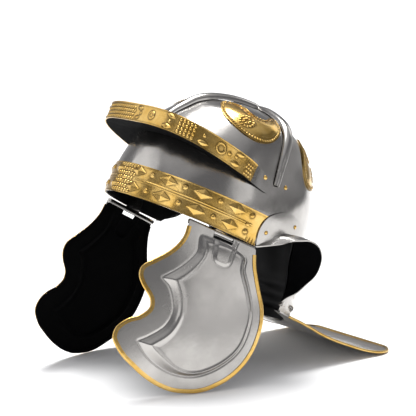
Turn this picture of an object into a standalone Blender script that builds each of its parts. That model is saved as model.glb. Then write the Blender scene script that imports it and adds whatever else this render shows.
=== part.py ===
"""Roman legionary helmet of the Imperial-Gallic kind, resting on its cheek guards and neck guard.

Every piece is shaped in the helmet's own frame: the origin lies at the middle of the bowl's
front rim plane, +X is the wearer's left, +Y the back and +Z up through the crown. The finished
helmet is then tipped back until cheek guards and neck guard stand on the floor together.
"""
import math

import bmesh
import bpy
import numpy as np
from mathutils import Matrix, Vector

MM = 0.001

# Metal and clearances
STEEL_WALL = 1.5 * MM
BRASS_WALL = 0.9 * MM
SEAT_GAP = 0.3 * MM          # between a piece and what carries it
RUNNING_GAP = 0.5 * MM       # between hinge knuckles

# Bowl, measured on its outside
BOWL_HALF_WIDTH = 105.4 * MM
BOWL_FRONT = 109.2 * MM
BOWL_REAR = 140.0 * MM
BOWL_HEIGHT = 157.0 * MM
NAPE_DROP = 58.0 * MM        # from the rim plane down to the lowest section
CROWN_SETBACK = 18.0 * MM    # the highest point lies this far behind the origin

# Nape ribs and ear openings
RIB_COUNT = 3
RIB_HEIGHT = 1.8 * MM
RIB_PITCH = 12.0 * MM
RIB_LOW_CLEARANCE = 9.0 * MM
EAR_ARCH_HEIGHT = 28.0 * MM
EAR_FLARE = 32.0 * MM

# Brow band
BAND_HEIGHT = 36.5 * MM
BAND_PITCH = 22.5            # degrees of turn between two lozenges
BAND_RELIEF = 1.6 * MM

# Peak: an L-section bar, lip upright and flange towards the bowl
PEAK_HALF_WIDTH = 109.2 * MM
PEAK_REACH = 130.0 * MM
PEAK_FULLNESS = 3.12
PEAK_BLEND_START = 1.0       # degrees before the origin where the lip leaves the bowl
PEAK_BLEND = 19.0
PEAK_HEIGHT = 59.7 * MM      # lower edge, abreast of the origin
PEAK_RISE = 0.151            # how much it climbs towards the front
PEAK_LIP = 21.0 * MM
PEAK_WALL = 1.2 * MM
PEAK_TAB_TURN = 6.0          # degrees behind the origin where the tab ends
STRIP_END_TURN = 10.0        # degrees before the origin where the brass ends
STRIP_RELIEF = 1.2 * MM

# Crown braces
BRACE_WIDTH = 15.0 * MM
BRACE_END_WIDTH = 8.0 * MM
BRACE_RISE = 7.0 * MM
BRACE_END_RISE = 3.6 * MM
BRACE_WALL = 1.2 * MM
BRACE_CROSSING = 27.0 * MM   # how far behind the origin the braces cross
BRACE_LEAN = 8.0 * MM        # the side brace's ends lie this much further forward
BRACE_SIDE_HEIGHT = 72.0 * MM
BRACE_FRONT_HEIGHT = 88.0 * MM
BRACE_REAR_HEIGHT = 74.0 * MM

# Crown plaques
PLAQUE_LENGTH = 85.0 * MM
PLAQUE_DEPTH = 74.0 * MM
PLAQUE_RELIEF = 1.3 * MM
PLAQUE_SEAT = 0.6 * MM        # the plates are flatter than the bowl under them
PLAQUE_MIDDLE = (0.07, 0.05)  # shares of length and depth; the outline shrinks to this point

# Neck guard
NECK_HALF_WIDTH = 92.0 * MM
NECK_REACH = 286.0 * MM
NECK_CORNER = 30.0 * MM
NECK_LAP = 5.5 * MM          # how far it reaches in under the nape's rim
NECK_EDGING_WIDTH = 3.0 * MM
EDGING_PLAY = 0.35 * MM       # between a channel and the sheet it is folded over

# Cheek guards and their hinges
HINGE_FRONT_X = 84.9 * MM
HINGE_FRONT_Y = -64.7 * MM
HINGE_REAR_X = 107.2 * MM
HINGE_REAR_Y = 19.4 * MM
HINGE_DROP = 4.4 * MM
HINGE_SPLAY = 3.0            # degrees the guards hang out from the rim plane's normal
KNUCKLE_RADIUS = 3.0 * MM
PIN_RADIUS = 1.2 * MM
PIN_PLAY = 0.1 * MM
STRAP_START = 33.5 * MM
STRAP_WIDTH = 24.0 * MM
STRAP_LEAF = 17.0 * MM        # how far the strap reaches up inside the bowl
STRAP_WALL = 1.2 * MM
STRAP_SEAT = 1.0 * MM        # clears the flats of the bowl's inner wall
SLOT_DEPTH = 7.0 * MM
CHEEK_DEPTH = 182.8 * MM
CHEEK_WIDTH = 161.5 * MM
CHEEK_BOW = 7.0 * MM
PANEL_RELIEF = 2.4 * MM
PANEL_STEP = 3.5 * MM
CHEEK_EDGING_WIDTH = 5.0 * MM

RIVET_RADIUS = 2.5 * MM
RIVET_RISE = 1.5 * MM
BAND_RIVET_TURN = -1.0       # degrees behind the helmet's side, as the turns below
PEAK_RIVET_TURN = -0.2
PEAK_RIVET_LEVEL = 0.73      # share of the lip's height
BRACE_RIVET_TURN = 15.5
BRACE_RIVET_RISE = 4.0 * MM  # above the side brace's lower end
BRACE_RIVET_DROP = 6.0 * MM  # below the long brace's rear end
EAR_RIVETS = (
    # name, turn, share of the ear arch's height
    ("ear_rivet_front", 11.0, 0.68),
    ("ear_rivet_rear", 30.5, 1.45),
)

# Sections of bowl and nape, lowest first. Height above the rim plane is a share of the bowl's
# height (of the nape's drop where negative), the others are shares of half width, front and
# rear reach, and middle is a share of the crown's setback.
BOWL_SECTIONS = (
    # height, width, front, rear, middle
    (-1.000, 0.985, 1.000, 1.186, 0.0),
    (-0.640, 0.985, 1.000, 1.178, 0.0),
    (-0.260, 0.980, 1.000, 1.128, 0.0),
    (0.000, 0.971, 1.000, 1.070, 0.0),
    (0.115, 0.988, 0.997, 1.024, 0.0),
    (0.230, 1.000, 0.984, 1.000, 0.0),
    (0.357, 0.982, 0.954, 0.982, 0.0),
    (0.478, 0.950, 0.905, 0.946, 0.0),
    (0.611, 0.897, 0.835, 0.878, 0.08),
    (0.707, 0.854, 0.742, 0.803, 0.25),
    (0.790, 0.802, 0.632, 0.714, 0.45),
    (0.854, 0.726, 0.535, 0.621, 0.62),
    (0.911, 0.592, 0.390, 0.507, 0.78),
    (0.955, 0.402, 0.215, 0.393, 0.90),
    (0.985, 0.218, 0.030, 0.271, 0.98),
    (1.000, 0.000, -0.165, 0.129, 1.0),
)

# Ear guard, from its lower front corner round to its lower rear corner. Turns are degrees from
# the wearer's left towards the back, heights are shares of the ear arch's height, and the last
# three are how far the flange's edge stands off its root, as shares of the flare.
EAR_SECTIONS = (
    # plate turn, plate height, root turn, root height, out, back, up
    (8.6, 0.05, 9.5, 0.02, 0.10, -0.08, -0.05),
    (6.8, 0.60, 15.5, 0.48, 0.31, 0.30, -0.01),
    (8.1, 1.16, 19.5, 0.79, 0.44, 0.36, -0.03),
    (13.5, 1.56, 24.0, 0.96, 0.59, 0.39, -0.02),
    (21.1, 1.81, 29.0, 1.02, 0.74, 0.44, 0.06),
    (31.2, 1.80, 33.5, 0.96, 0.88, 0.53, 0.05),
    (41.2, 1.54, 36.0, 0.79, 0.94, 0.65, 0.00),
    (46.0, 1.00, 37.3, 0.36, 0.99, 0.64, 0.05),
    (46.5, 0.30, 37.8, -0.11, 0.96, 0.53, 0.06),
    (46.0, -0.40, 38.0, -0.57, 0.82, 0.23, 0.03),
    (45.0, -0.90, 38.1, -1.00, 0.66, 0.00, 0.00),
    (43.5, -1.30, 38.2, -1.36, 0.47, -0.26, 0.00),
    (42.0, -1.66, 38.3, -1.70, 0.26, -0.37, -0.02),
)

# Neck guard's side profile: how far back as a share of its reach, depth as a share of the drop
NECK_PROFILE = (
    # back, depth
    (0.200, 0.850),
    (0.328, 0.905),
    (0.399, 0.940),
    (0.469, 0.957),
    (0.528, 0.974),
    (0.584, 0.998),
    (0.654, 0.998),
    (0.727, 0.974),
    (0.825, 0.925),
    (0.902, 0.842),
    (0.972, 0.712),
    (1.000, 0.640),
)

# Cheek guard: depth below the hinge, and where its front and rear edge are along the hinge, as
# shares of the guard's depth and width
CHEEK_SECTIONS = (
    # down, front, rear
    (0.000, 0.006, 0.539),
    (0.087, 0.012, 0.572),
    (0.157, -0.009, 0.616),
    (0.228, -0.056, 0.669),
    (0.304, -0.130, 0.730),
    (0.363, -0.189, 0.762),
    (0.417, -0.192, 0.780),
    (0.467, -0.151, 0.788),
    (0.515, -0.080, 0.790),
    (0.548, -0.050, 0.789),
    (0.594, -0.043, 0.784),
    (0.651, -0.084, 0.769),
    (0.700, -0.155, 0.749),
    (0.759, -0.203, 0.715),
    (0.814, -0.210, 0.672),
    (0.854, -0.186, 0.631),
    (0.909, -0.105, 0.566),
    (0.949, 0.000, 0.495),
    (0.976, 0.087, 0.418),
    (0.995, 0.186, 0.340),
    (1.000, 0.272, 0.272),
)

# The raised panel inside it, row for row
PANEL_SECTIONS = (
    # down, front, rear
    (0.052, 0.138, 0.452),
    (0.110, 0.138, 0.480),
    (0.165, 0.136, 0.507),
    (0.225, 0.108, 0.556),
    (0.285, 0.062, 0.606),
    (0.345, 0.006, 0.648),
    (0.382, -0.029, 0.668),
    (0.425, 0.040, 0.681),
    (0.470, 0.082, 0.688),
    (0.515, 0.111, 0.690),
    (0.560, 0.126, 0.688),
    (0.606, 0.121, 0.678),
    (0.651, 0.107, 0.656),
    (0.700, 0.064, 0.624),
    (0.745, 0.021, 0.586),
    (0.790, -0.027, 0.536),
    (0.825, 0.024, 0.485),
    (0.844, 0.080, 0.434),
    (0.858, 0.142, 0.390),
    (0.868, 0.210, 0.345),
    (0.888, 0.285, 0.285),
)

# Kidney outline of a crown plaque, counter-clockwise from its left end: shares of half length
# along it, and of depth towards the rim, where the hollow side faces the crown
PLAQUE_OUTLINE = (
    # along, down: shares of the length and the depth
    (-0.559, -0.427),
    (-0.571, -0.595),
    (-0.506, -0.703),
    (-0.371, -0.649),
    (-0.193, -0.493),
    (-0.089, -0.304),
    (0.029, -0.216),
    (0.135, -0.270),
    (0.188, -0.439),
    (0.235, -0.561),
    (0.294, -0.574),
    (0.351, -0.466),
    (0.391, -0.277),
    (0.391, -0.054),
    (0.312, 0.155),
    (0.153, 0.261),
    (-0.035, 0.268),
    (-0.218, 0.192),
    (-0.388, 0.046),
    (-0.507, -0.142),
)

# Where the plaques' middles sit: turn in degrees and height as a share of the bowl's height
PLAQUE_PLACES = {
    # turn in degrees, share of the bowl's height, which way the pattern runs
    "front": (-24.0, 0.809, 1),
    "rear": (50.0, 0.695, -1),
}

MATERIALS = {
    "steel": ((0.60, 0.60, 0.61), 0.32),
    "brass": ((0.80, 0.58, 0.22), 0.28),
}


def material(name):
    """The Principled material of that name, made once."""
    found = bpy.data.materials.get(name)
    if found:
        return found
    colour, roughness = MATERIALS[name]
    made = bpy.data.materials.new(name)
    made.use_nodes = True
    shader = made.node_tree.nodes["Principled BSDF"]
    shader.inputs["Base Color"].default_value = (*colour, 1)
    shader.inputs["Metallic"].default_value = 1
    shader.inputs["Roughness"].default_value = roughness
    return made


def curve_at(rows, column, place):
    """A smooth curve through one column of a table, read at a row number that may be a fraction."""
    last = len(rows) - 1
    place = min(max(place, 0), last)
    i = min(int(place), last - 1)
    t = place - i
    a, b, c, d = (rows[min(max(k, 0), last)][column] for k in (i - 1, i, i + 1, i + 2))
    slope_b = (c - a) / 2 if i > 0 else c - b
    slope_c = (d - b) / 2 if i + 2 <= last else c - b
    return (
        b * (1 + 2 * t) * (1 - t) ** 2
        + slope_b * t * (1 - t) ** 2
        + c * (3 - 2 * t) * t ** 2
        + slope_c * t ** 2 * (t - 1)
    )


def place_of(rows, column, value):
    """The row number, as a fraction, where a rising column reaches a value."""
    low, high = 0.0, len(rows) - 1.0
    for _ in range(40):
        middle = (low + high) / 2
        if curve_at(rows, column, middle) < value:
            low = middle
        else:
            high = middle
    return (low + high) / 2


def section_height(place):
    share = curve_at(BOWL_SECTIONS, 0, place)
    return share * (BOWL_HEIGHT if share > 0 else NAPE_DROP)


def section_place(height):
    share = height / (BOWL_HEIGHT if height > 0 else NAPE_DROP)
    return place_of(BOWL_SECTIONS, 0, share)


def on_section(turn, place):
    """A point of the bowl's outside: two half ellipses that share their width."""
    width = curve_at(BOWL_SECTIONS, 1, place) * BOWL_HALF_WIDTH
    front = curve_at(BOWL_SECTIONS, 2, place) * BOWL_FRONT
    rear = curve_at(BOWL_SECTIONS, 3, place) * BOWL_REAR
    middle = curve_at(BOWL_SECTIONS, 4, place) * CROWN_SETBACK
    reach = rear - middle if turn > 0 else front + middle
    return Vector((
        width * math.cos(math.radians(turn)),
        middle + reach * math.sin(math.radians(turn)),
        section_height(place),
    ))


def bowl_normal(turn, place):
    """The outward normal, from small steps round and up the surface."""
    step = 0.02
    top = len(BOWL_SECTIONS) - 1
    along = on_section(turn + 1, place) - on_section(turn - 1, place)
    up = on_section(turn, min(place + step, top)) - on_section(turn, place - step)
    return along.cross(up).normalized()


def bowl_point(turn, height, lift=0.0):
    """The point of the bowl at that turn and height, lifted off its outside."""
    place = section_place(height)
    return on_section(turn, place) + bowl_normal(turn, place) * lift


def turn_at(back, height):
    """The turn at which the bowl lies that far behind the origin, on the wearer's left."""
    low, high = -90.0, 90.0
    place = section_place(height)
    for _ in range(40):
        middle = (low + high) / 2
        if on_section(middle, place).y < back:
            low = middle
        else:
            high = middle
    return (low + high) / 2


def neck_height(back):
    """Height of the neck guard's top at a distance behind the origin."""
    place = place_of(NECK_PROFILE, 0, back / NECK_REACH)
    return -curve_at(NECK_PROFILE, 1, place) * NAPE_DROP


def mirrored(points):
    return [Vector((-p.x, p.y, p.z)) for p in points]


def collection(name):
    made = bpy.data.collections.get(name)
    if not made:
        made = bpy.data.collections.new(name)
        bpy.context.scene.collection.children.link(made)
    return made


def add_object(name, mesh, finish, group="roman_legionary_helmet"):
    piece = bpy.data.objects.new(name, mesh)
    collection(group).objects.link(piece)
    if finish:
        mesh.materials.append(material(finish))
    return piece


def mesh_of(name, points, faces):
    """A mesh with coinciding points merged, faces without area dropped and normals agreeing."""
    mesh = bpy.data.meshes.new(name)
    mesh.from_pydata([tuple(p) for p in points], [], faces)
    work = bmesh.new()
    work.from_mesh(mesh)
    bmesh.ops.remove_doubles(work, verts=work.verts, dist=1e-6)
    bmesh.ops.dissolve_degenerate(work, edges=work.edges, dist=1e-7)
    work.to_mesh(mesh)
    work.free()
    return mesh


def grid_faces(rows, columns, closed_columns=False):
    faces = []
    for i in range(rows - 1):
        for j in range(columns if closed_columns else columns - 1):
            k = (j + 1) % columns
            faces.append((i * columns + j, i * columns + k, (i + 1) * columns + k, (i + 1) * columns + j))
    return faces


def loft(name, rings, finish, capped=True):
    """A closed body through rings of points that run the same way round."""
    columns = len(rings[0])
    points = [p for ring in rings for p in ring]
    faces = grid_faces(len(rings), columns, closed_columns=True)
    if capped:
        faces.append(tuple(reversed(range(columns))))
        last = (len(rings) - 1) * columns
        faces.append(tuple(last + j for j in range(columns)))
    mesh = mesh_of(name, points, faces)
    face_outwards(mesh)
    return add_object(name, mesh, finish)


def face_outwards(mesh):
    work = bmesh.new()
    work.from_mesh(mesh)
    bmesh.ops.triangulate(work, faces=[f for f in work.faces if len(f.verts) > 4])
    bmesh.ops.recalc_face_normals(work, faces=work.faces)
    if work.calc_volume(signed=True) < 0:
        bmesh.ops.reverse_faces(work, faces=work.faces)
    work.to_mesh(mesh)
    work.free()


def sheet(name, rows, wall, finish, outward, core=(0, 0, 40 * MM), whole=False):
    """An open sheet through rows of points, facing away from its core, with a wall grown
    outwards or inwards. A whole sheet is mirrored to the other side."""
    points = [p for row in rows for p in row]
    mesh = mesh_of(name, points, grid_faces(len(rows), len(rows[0])))
    facing = sum(
        face.area * face.normal.dot(face.center - Vector(core)) for face in mesh.polygons
    )
    if facing < 0:
        mesh.flip_normals()
    piece = add_object(name, mesh, finish)
    if whole:
        mirror = piece.modifiers.new("other half", "MIRROR")
        mirror.merge_threshold = 1e-5
        mirror.use_clip = True
    solid = piece.modifiers.new("wall", "SOLIDIFY")
    solid.thickness = wall
    solid.offset = 1 if outward else -1
    solid.use_even_offset = True
    return piece


def freeze(piece):
    """Turns a piece's modifiers into its mesh."""
    seen = piece.evaluated_get(bpy.context.evaluated_depsgraph_get())
    mesh = bpy.data.meshes.new_from_object(seen)
    piece.modifiers.clear()
    piece.data = mesh
    return piece


def boolean(piece, other, operation):
    """Joins another body to a piece or cuts it out, and removes the other body."""
    change = piece.modifiers.new(operation.lower(), "BOOLEAN")
    change.operation = operation
    change.object = other
    change.solver = "EXACT"
    bpy.context.view_layer.update()
    freeze(piece)
    bpy.data.objects.remove(other)
    return piece


def mirror_copy(piece, name):
    """The same piece for the wearer's other side."""
    mesh = piece.data.copy()
    mesh.transform(Matrix.Scale(-1, 4, (1, 0, 0)))
    mesh.flip_normals()
    return add_object(name, mesh, None)


def nape_rim(turn):
    """Height of the nape's lower rim, which stands on the neck guard."""
    height = -NAPE_DROP * 0.9
    for _ in range(4):
        height = neck_height(bowl_point(turn, height).y) + 2 * SEAT_GAP
    return height


def rim_height(turn):
    """Height of the bowl's lower edge: rim plane in front, ear arch, then the nape."""
    roots = [(row[2], row[3]) for row in EAR_SECTIONS]
    first, last = roots[0], roots[-1]
    if turn <= first[0]:
        return 0.0
    for (t0, h0), (t1, h1) in zip(roots, roots[1:]):
        if t0 < turn <= t1 and turn < 38.05:
            share = (turn - t0) / (t1 - t0)
            return (h0 + (h1 - h0) * share) * EAR_ARCH_HEIGHT
    return nape_rim(turn)


def rib_lift(height, rim):
    """Round horizontal ribs pressed into the nape."""
    above = height - rim - RIB_LOW_CLEARANCE
    if not 0 <= above <= RIB_COUNT * RIB_PITCH:
        return 0.0
    return RIB_HEIGHT * (0.5 - 0.5 * math.cos(2 * math.pi * above / RIB_PITCH))


def skull_bowl():
    turns = [-90 + 12 * k for k in range(8)]
    turns += [4, 9.5] + [row[2] for row in EAR_SECTIONS if 10 < row[2] < 37.9] + [38.3]
    turns += [46, 55, 64, 73, 81.5, 90]
    rib_rows = RIB_COUNT * 2 + 1
    columns = []
    for turn in turns:
        rim = rim_height(turn)
        shoulder = max(rim + 10 * MM, 12 * MM)
        low = [rim + (shoulder - rim) * k / (rib_rows + 2) for k in range(rib_rows + 3)]
        if rim < -RIB_LOW_CLEARANCE:
            ribs = rim + RIB_LOW_CLEARANCE
            low = [rim, (rim + ribs) / 2]
            low += [ribs + RIB_PITCH / 2 * k for k in range(rib_rows - 1)]
            low += [low[-1] + (shoulder - low[-1]) * k / 2 for k in (1, 2)]
        start = section_place(low[-1])
        top = len(BOWL_SECTIONS) - 1
        column = [
            bowl_point(turn, h, rib_lift(h, rim) * min(1, max(0, (turn - 47) / 7)))
            for h in low
        ]
        steps = 7
        for k in range(1, steps + 1):
            column.append(on_section(turn, start + (top - start) * k / steps))
        column[-1] = Vector((0, CROWN_SETBACK, BOWL_HEIGHT))
        columns.append(column)
    for column in (columns[0], columns[-1]):
        for point in column:
            point.x = 0
    return sheet("skull_bowl", columns, STEEL_WALL, "steel", outward=False, whole=True)


def band_rear_turn(height):
    """The band ends just ahead of the ear guard's plate."""
    place = place_of([(row[1],) for row in EAR_SECTIONS[:4]], 0, height / EAR_ARCH_HEIGHT)
    return curve_at(EAR_SECTIONS[:4], 0, place) - 0.9


def band_relief(turn, share):
    """Two rows of lozenges and domes with a double ridge between them."""
    if share == 0.5:
        return 0.7 * BAND_RELIEF
    if share not in (0.25, 0.78):
        return 0.0
    step = (turn + 79) / (BAND_PITCH / 2)
    if abs(step - round(step)) > 0.02 or turn < -82 or turn > 2:
        return 0.0
    return BAND_RELIEF if round(step) % 2 == 0 else 0.6 * BAND_RELIEF


def brow_band():
    turns = [-90, -85] + [-79 + BAND_PITCH / 4 * k for k in range(15)] + [4.0]
    shares = (0, 0.25, 0.5, 0.78, 1)
    columns = []
    for turn in turns:
        column = []
        for share in shares:
            height = share * BAND_HEIGHT
            at = min(turn, band_rear_turn(height))
            if turn == turns[-1]:
                at = band_rear_turn(height)
            column.append(bowl_point(at, height, SEAT_GAP + band_relief(turn, share)))
        columns.append(column)
    for point in columns[0]:
        point.x = 0
    return sheet("brow_band", columns, BRASS_WALL, "brass", outward=True, whole=True)


def peak_height(back):
    return PEAK_HEIGHT - PEAK_RISE * back


def peak_plan(turn, level=0.0, inset=0.0):
    """The lip's outer plan at a level of its height: a full oval in front that runs onto the
    bowl at the tabs."""
    c, s = math.cos(math.radians(turn)), math.sin(math.radians(turn))
    n = PEAK_FULLNESS
    oval = (abs(c / PEAK_HALF_WIDTH) ** n + abs(s / PEAK_REACH) ** n) ** (-1 / n)
    seat = bowl_point(turn, PEAK_HEIGHT + PEAK_LIP * level, 2 * SEAT_GAP + PEAK_WALL)
    away = math.hypot(seat.x, seat.y)
    share = min(1, max(0, (-turn - PEAK_BLEND_START) / PEAK_BLEND))
    share = share * share * (3 - 2 * share)
    bearing = Vector((seat.x, seat.y)) / away * (1 - share) + Vector((c, s)) * share
    return bearing.normalized() * (away + (oval - away) * share - inset)


def peak_turns(last):
    """Turns of the peak's stations, close together at the corners and tabs."""
    turns = [-90, -80, -71, -64, -58, -52, -46, -40, -33, -26, -20, -15, -12, -8, -3, 1.5]
    return [t for t in turns if t < last - 1] + [last]


def peak():
    rings = []
    for turn in peak_turns(PEAK_TAB_TURN):
        tip = min(1, max(0, (PEAK_TAB_TURN - turn) / 4))
        shrink = 0.28 * (1 - math.sqrt(tip * (2 - tip)))
        low, high = shrink, 1 - shrink
        back = peak_plan(turn).y
        outline = []
        for level, inset in ((low, 0), (high, 0), (high, PEAK_WALL), (low, PEAK_WALL)):
            plan = peak_plan(turn, level, inset)
            outline.append(Vector((plan.x, plan.y, peak_height(back) + PEAK_LIP * level)))
        corner = outline[3]
        seat = bowl_point(turn, corner.z, 2 * SEAT_GAP)
        seat.z = corner.z
        if turn > -6 or (corner - seat).length < 1.5 * MM:
            seat = corner - Vector((corner.x, corner.y, 0)).normalized() * 0.02 * MM
        rise = Vector((0, 0, PEAK_WALL))
        rings.append(outline[:3] + [corner + rise, seat + rise, seat])
    rings = [mirrored(ring) for ring in reversed(rings[1:])] + rings
    return loft("peak", rings, "steel")


def strip_relief(index, share):
    """Alternating bosses along the strip: a leaf pair, then a single disc."""
    if index % 2 == 0:
        return 0.0
    if index % 4 == 1:
        return STRIP_RELIEF if share == 0.5 else 0.0
    return 0.7 * STRIP_RELIEF if share in (0.27, 0.73) else 0.0


def peak_strip():
    stations = 21
    first, last = -90.0, -STRIP_END_TURN
    shares = (0, 0.27, 0.5, 0.73, 1)
    columns = []
    for index in range(stations):
        turn = first + (last - first) * index / (stations - 1)
        back = peak_plan(turn).y
        column = []
        for share in shares:
            plan = peak_plan(turn, share, -SEAT_GAP - strip_relief(index, share))
            column.append(Vector((plan.x, plan.y, peak_height(back) + PEAK_LIP * share)))
        columns.append(column)
    for point in columns[0]:
        point.x = 0
    return sheet("peak_strip", columns, BRASS_WALL, "brass", outward=True, whole=True)


def arch_ring(point, normal, along, width, rise, wall):
    """Section of a hollow brace: a round arch on the bowl, open underneath."""
    side = along.cross(normal).normalized()
    ring = []
    for offset in (0.0, wall):
        half = width / 2 - offset
        high = rise - offset
        arc = []
        for k in range(5):
            angle = math.pi * k / 4
            across = half * math.cos(angle)
            up = SEAT_GAP + 0.4 * MM + high * math.sin(angle) ** 0.8
            arc.append(point + side * across + normal * up)
        ring += arc if offset == 0 else list(reversed(arc))
    return ring


def brace_path(kind, share):
    """A point of the bowl under a brace and the normal there; share runs from end to end."""
    if kind == "long":
        low_front, low_rear = BRACE_FRONT_HEIGHT, BRACE_REAR_HEIGHT
        turn = -90.0 if share < 0.5 else 90.0
        low = low_front if share < 0.5 else low_rear
        top = len(BOWL_SECTIONS) - 1
        start = section_place(low)
        place = start + (top - start) * (1 - abs(share - 0.5) * 2)
        if abs(share - 0.5) < 1e-6:
            return Vector((0, CROWN_SETBACK, BOWL_HEIGHT)), Vector((0, 0, 1))
        point = on_section(turn, place)
        point.x = 0
        normal = bowl_normal(turn, place)
        normal.x = 0
        return point, normal.normalized()
    angle = (share - 0.5) * 2
    low = BRACE_SIDE_HEIGHT
    heights = abs(angle)
    back = BRACE_CROSSING - BRACE_LEAN * heights
    target = side_brace_point(heights, low, back)
    normal = target[1]
    point = target[0]
    if angle < 0:
        point = Vector((-point.x, point.y, point.z))
        normal = Vector((-normal.x, normal.y, normal.z))
    return point, normal


def side_brace_point(reach, low, back):
    """A point at a share of the way from the crossing down the wearer's left side."""
    crown = highest_at(back)
    if reach < 1e-6:
        point = Vector((0, back, crown))
        turn = 90.0 if back > CROWN_SETBACK else -90.0
        normal = bowl_normal(turn, section_place(crown))
        normal.x = 0
        return point, normal.normalized()
    angle = reach * math.pi / 2
    height = low + (crown - low) * math.cos(angle) ** 0.9
    height = min(height, crown - 0.05 * MM)
    turn = turn_at(back, height)
    place = section_place(height)
    return on_section(turn, place), bowl_normal(turn, place)


def highest_at(back):
    """Height of the bowl on its middle line, at a distance behind the origin."""
    low, high = 0.0, BOWL_HEIGHT
    side = 90.0 if back > CROWN_SETBACK else -90.0
    for _ in range(40):
        middle = (low + high) / 2
        y = on_section(side, section_place(middle)).y
        inside = y > back if side > 0 else y < back
        if inside:
            low = middle
        else:
            high = middle
    return (low + high) / 2


def brace(kind, stations):
    path = [brace_path(kind, k / (stations - 1)) for k in range(stations)]
    rings = []
    for k, (point, normal) in enumerate(path):
        ahead = path[min(k + 1, stations - 1)][0]
        behind = path[max(k - 1, 0)][0]
        along = (ahead - behind).normalized()
        end = abs(2 * k / (stations - 1) - 1)
        fade = min(1, max(0, (end - 0.45) / 0.55))
        width = BRACE_WIDTH + (BRACE_END_WIDTH - BRACE_WIDTH) * fade
        rise = BRACE_RISE + (BRACE_END_RISE - BRACE_RISE) * fade
        rings.append(arch_ring(point, normal, along, width, rise, BRACE_WALL))
    return loft("crown_brace_" + kind, rings, "steel")


def crown_brace():
    long_brace = brace("long", 21)
    side_brace = brace("side", 19)
    boolean(long_brace, side_brace, "UNION")
    long_brace.name = "crown_brace"
    return long_brace


def plaque_point(side, where, along, down, lift):
    """Carries a point of the plaque's flat pattern onto the bowl."""
    turn, share, way = PLAQUE_PLACES[where]
    height = share * BOWL_HEIGHT
    place = section_place(height)
    centre = on_section(turn, place)
    normal = bowl_normal(turn, place)
    level = on_section(turn + 1, place) - on_section(turn - 1, place)
    level = (level - normal * level.dot(normal)).normalized()
    below = normal.cross(level)
    if below.z > 0:
        below = -below
    guess = centre + level * way * along + below * down
    found = nearest_on_bowl(guess, turn, height)
    point = on_section(*found) + bowl_normal(*found) * lift
    return Vector((point.x * side, point.y, point.z))


def nearest_on_bowl(target, turn, height):
    """Turn and place of the bowl's point nearest to a target, by shrinking steps."""
    place = section_place(height)
    best = (on_section(turn, place) - target).length
    step_turn, step_place = 12.0, 1.0
    for _ in range(60):
        moved = False
        for dt, dp in ((step_turn, 0), (-step_turn, 0), (0, step_place), (0, -step_place)):
            t = turn + dt
            p = min(max(place + dp, 0.1), len(BOWL_SECTIONS) - 1.02)
            away = (on_section(t, p) - target).length
            if away < best:
                best, turn, place, moved = away, t, p, True
        if not moved:
            step_turn /= 2
            step_place /= 2
    return turn, place


def crown_plaque(name, side, where):
    """A raised kidney plate: flat rim, beaded step and swelling middle."""
    rings = []
    face = PLAQUE_SEAT + BRASS_WALL
    levels = (
        # share of the outline, height above the bowl
        (0.00, face + PLAQUE_RELIEF),
        (0.30, face + PLAQUE_RELIEF),
        (0.60, face + PLAQUE_RELIEF * 0.8),
        (0.80, face + PLAQUE_RELIEF * 0.35),
        (0.86, face + PLAQUE_RELIEF * 0.8),
        (0.92, face),
        (1.00, face),
        (1.00, PLAQUE_SEAT),
        (0.80, PLAQUE_SEAT),
        (0.60, PLAQUE_SEAT),
        (0.40, PLAQUE_SEAT),
        (0.20, PLAQUE_SEAT),
        (0.00, PLAQUE_SEAT),
    )
    centre_along, centre_down = PLAQUE_MIDDLE
    for share, lift in levels:
        ring = []
        for along, down in PLAQUE_OUTLINE:
            ring.append(plaque_point(
                side,
                where,
                (centre_along + (along - centre_along) * share) * PLAQUE_LENGTH,
                (centre_down + (down - centre_down) * share) * PLAQUE_DEPTH,
                lift,
            ))
        rings.append(ring)
    return loft(name, rings, "brass", capped=False)


def ear_guard():
    """Riveted plate round the ear arch, folded out along the arch into a wide flange."""
    rows = []
    last = len(EAR_SECTIONS) - 1
    for index in range(2 * last + 1):
        place = index / 2
        row = [curve_at(EAR_SECTIONS, column, place) for column in range(7)]
        plate_height = row[1] * EAR_ARCH_HEIGHT
        root_height = row[3] * EAR_ARCH_HEIGHT
        root = bowl_point(row[2], root_height, 3 * SEAT_GAP)
        middle = bowl_point((row[0] + row[2]) / 2, (plate_height + root_height) / 2, SEAT_GAP)
        outline = bowl_point(row[0], plate_height, SEAT_GAP)
        flare = Vector(row[4:7]) * EAR_FLARE
        rows.append([outline, middle, root, root + flare * 0.5, root + flare])
    return sheet("ear_guard_left", rows, STEEL_WALL, "steel", outward=True)


def neck_outline():
    """Half the neck guard's outline, from beside the ear round to the middle of its rear."""
    corner = NECK_CORNER
    points = []
    start = bowl_point(EAR_SECTIONS[-1][2], nape_rim(EAR_SECTIONS[-1][2]))
    side_end = NECK_REACH - corner
    for k in range(10):
        y = start.y + (side_end - start.y) * k / 9
        ease = min(1, k / 2)
        x = start.x + 3 * MM + (NECK_HALF_WIDTH - start.x - 3 * MM) * ease
        points.append(Vector((x, y)))
    for k in range(1, 5):
        angle = math.pi / 2 * k / 4
        points.append(Vector((
            NECK_HALF_WIDTH - corner + corner * math.cos(angle),
            side_end + corner * math.sin(angle),
        )))
    for k in range(1, 4):
        points.append(Vector(((NECK_HALF_WIDTH - corner) * (1 - k / 3), NECK_REACH)))
    return points


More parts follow.
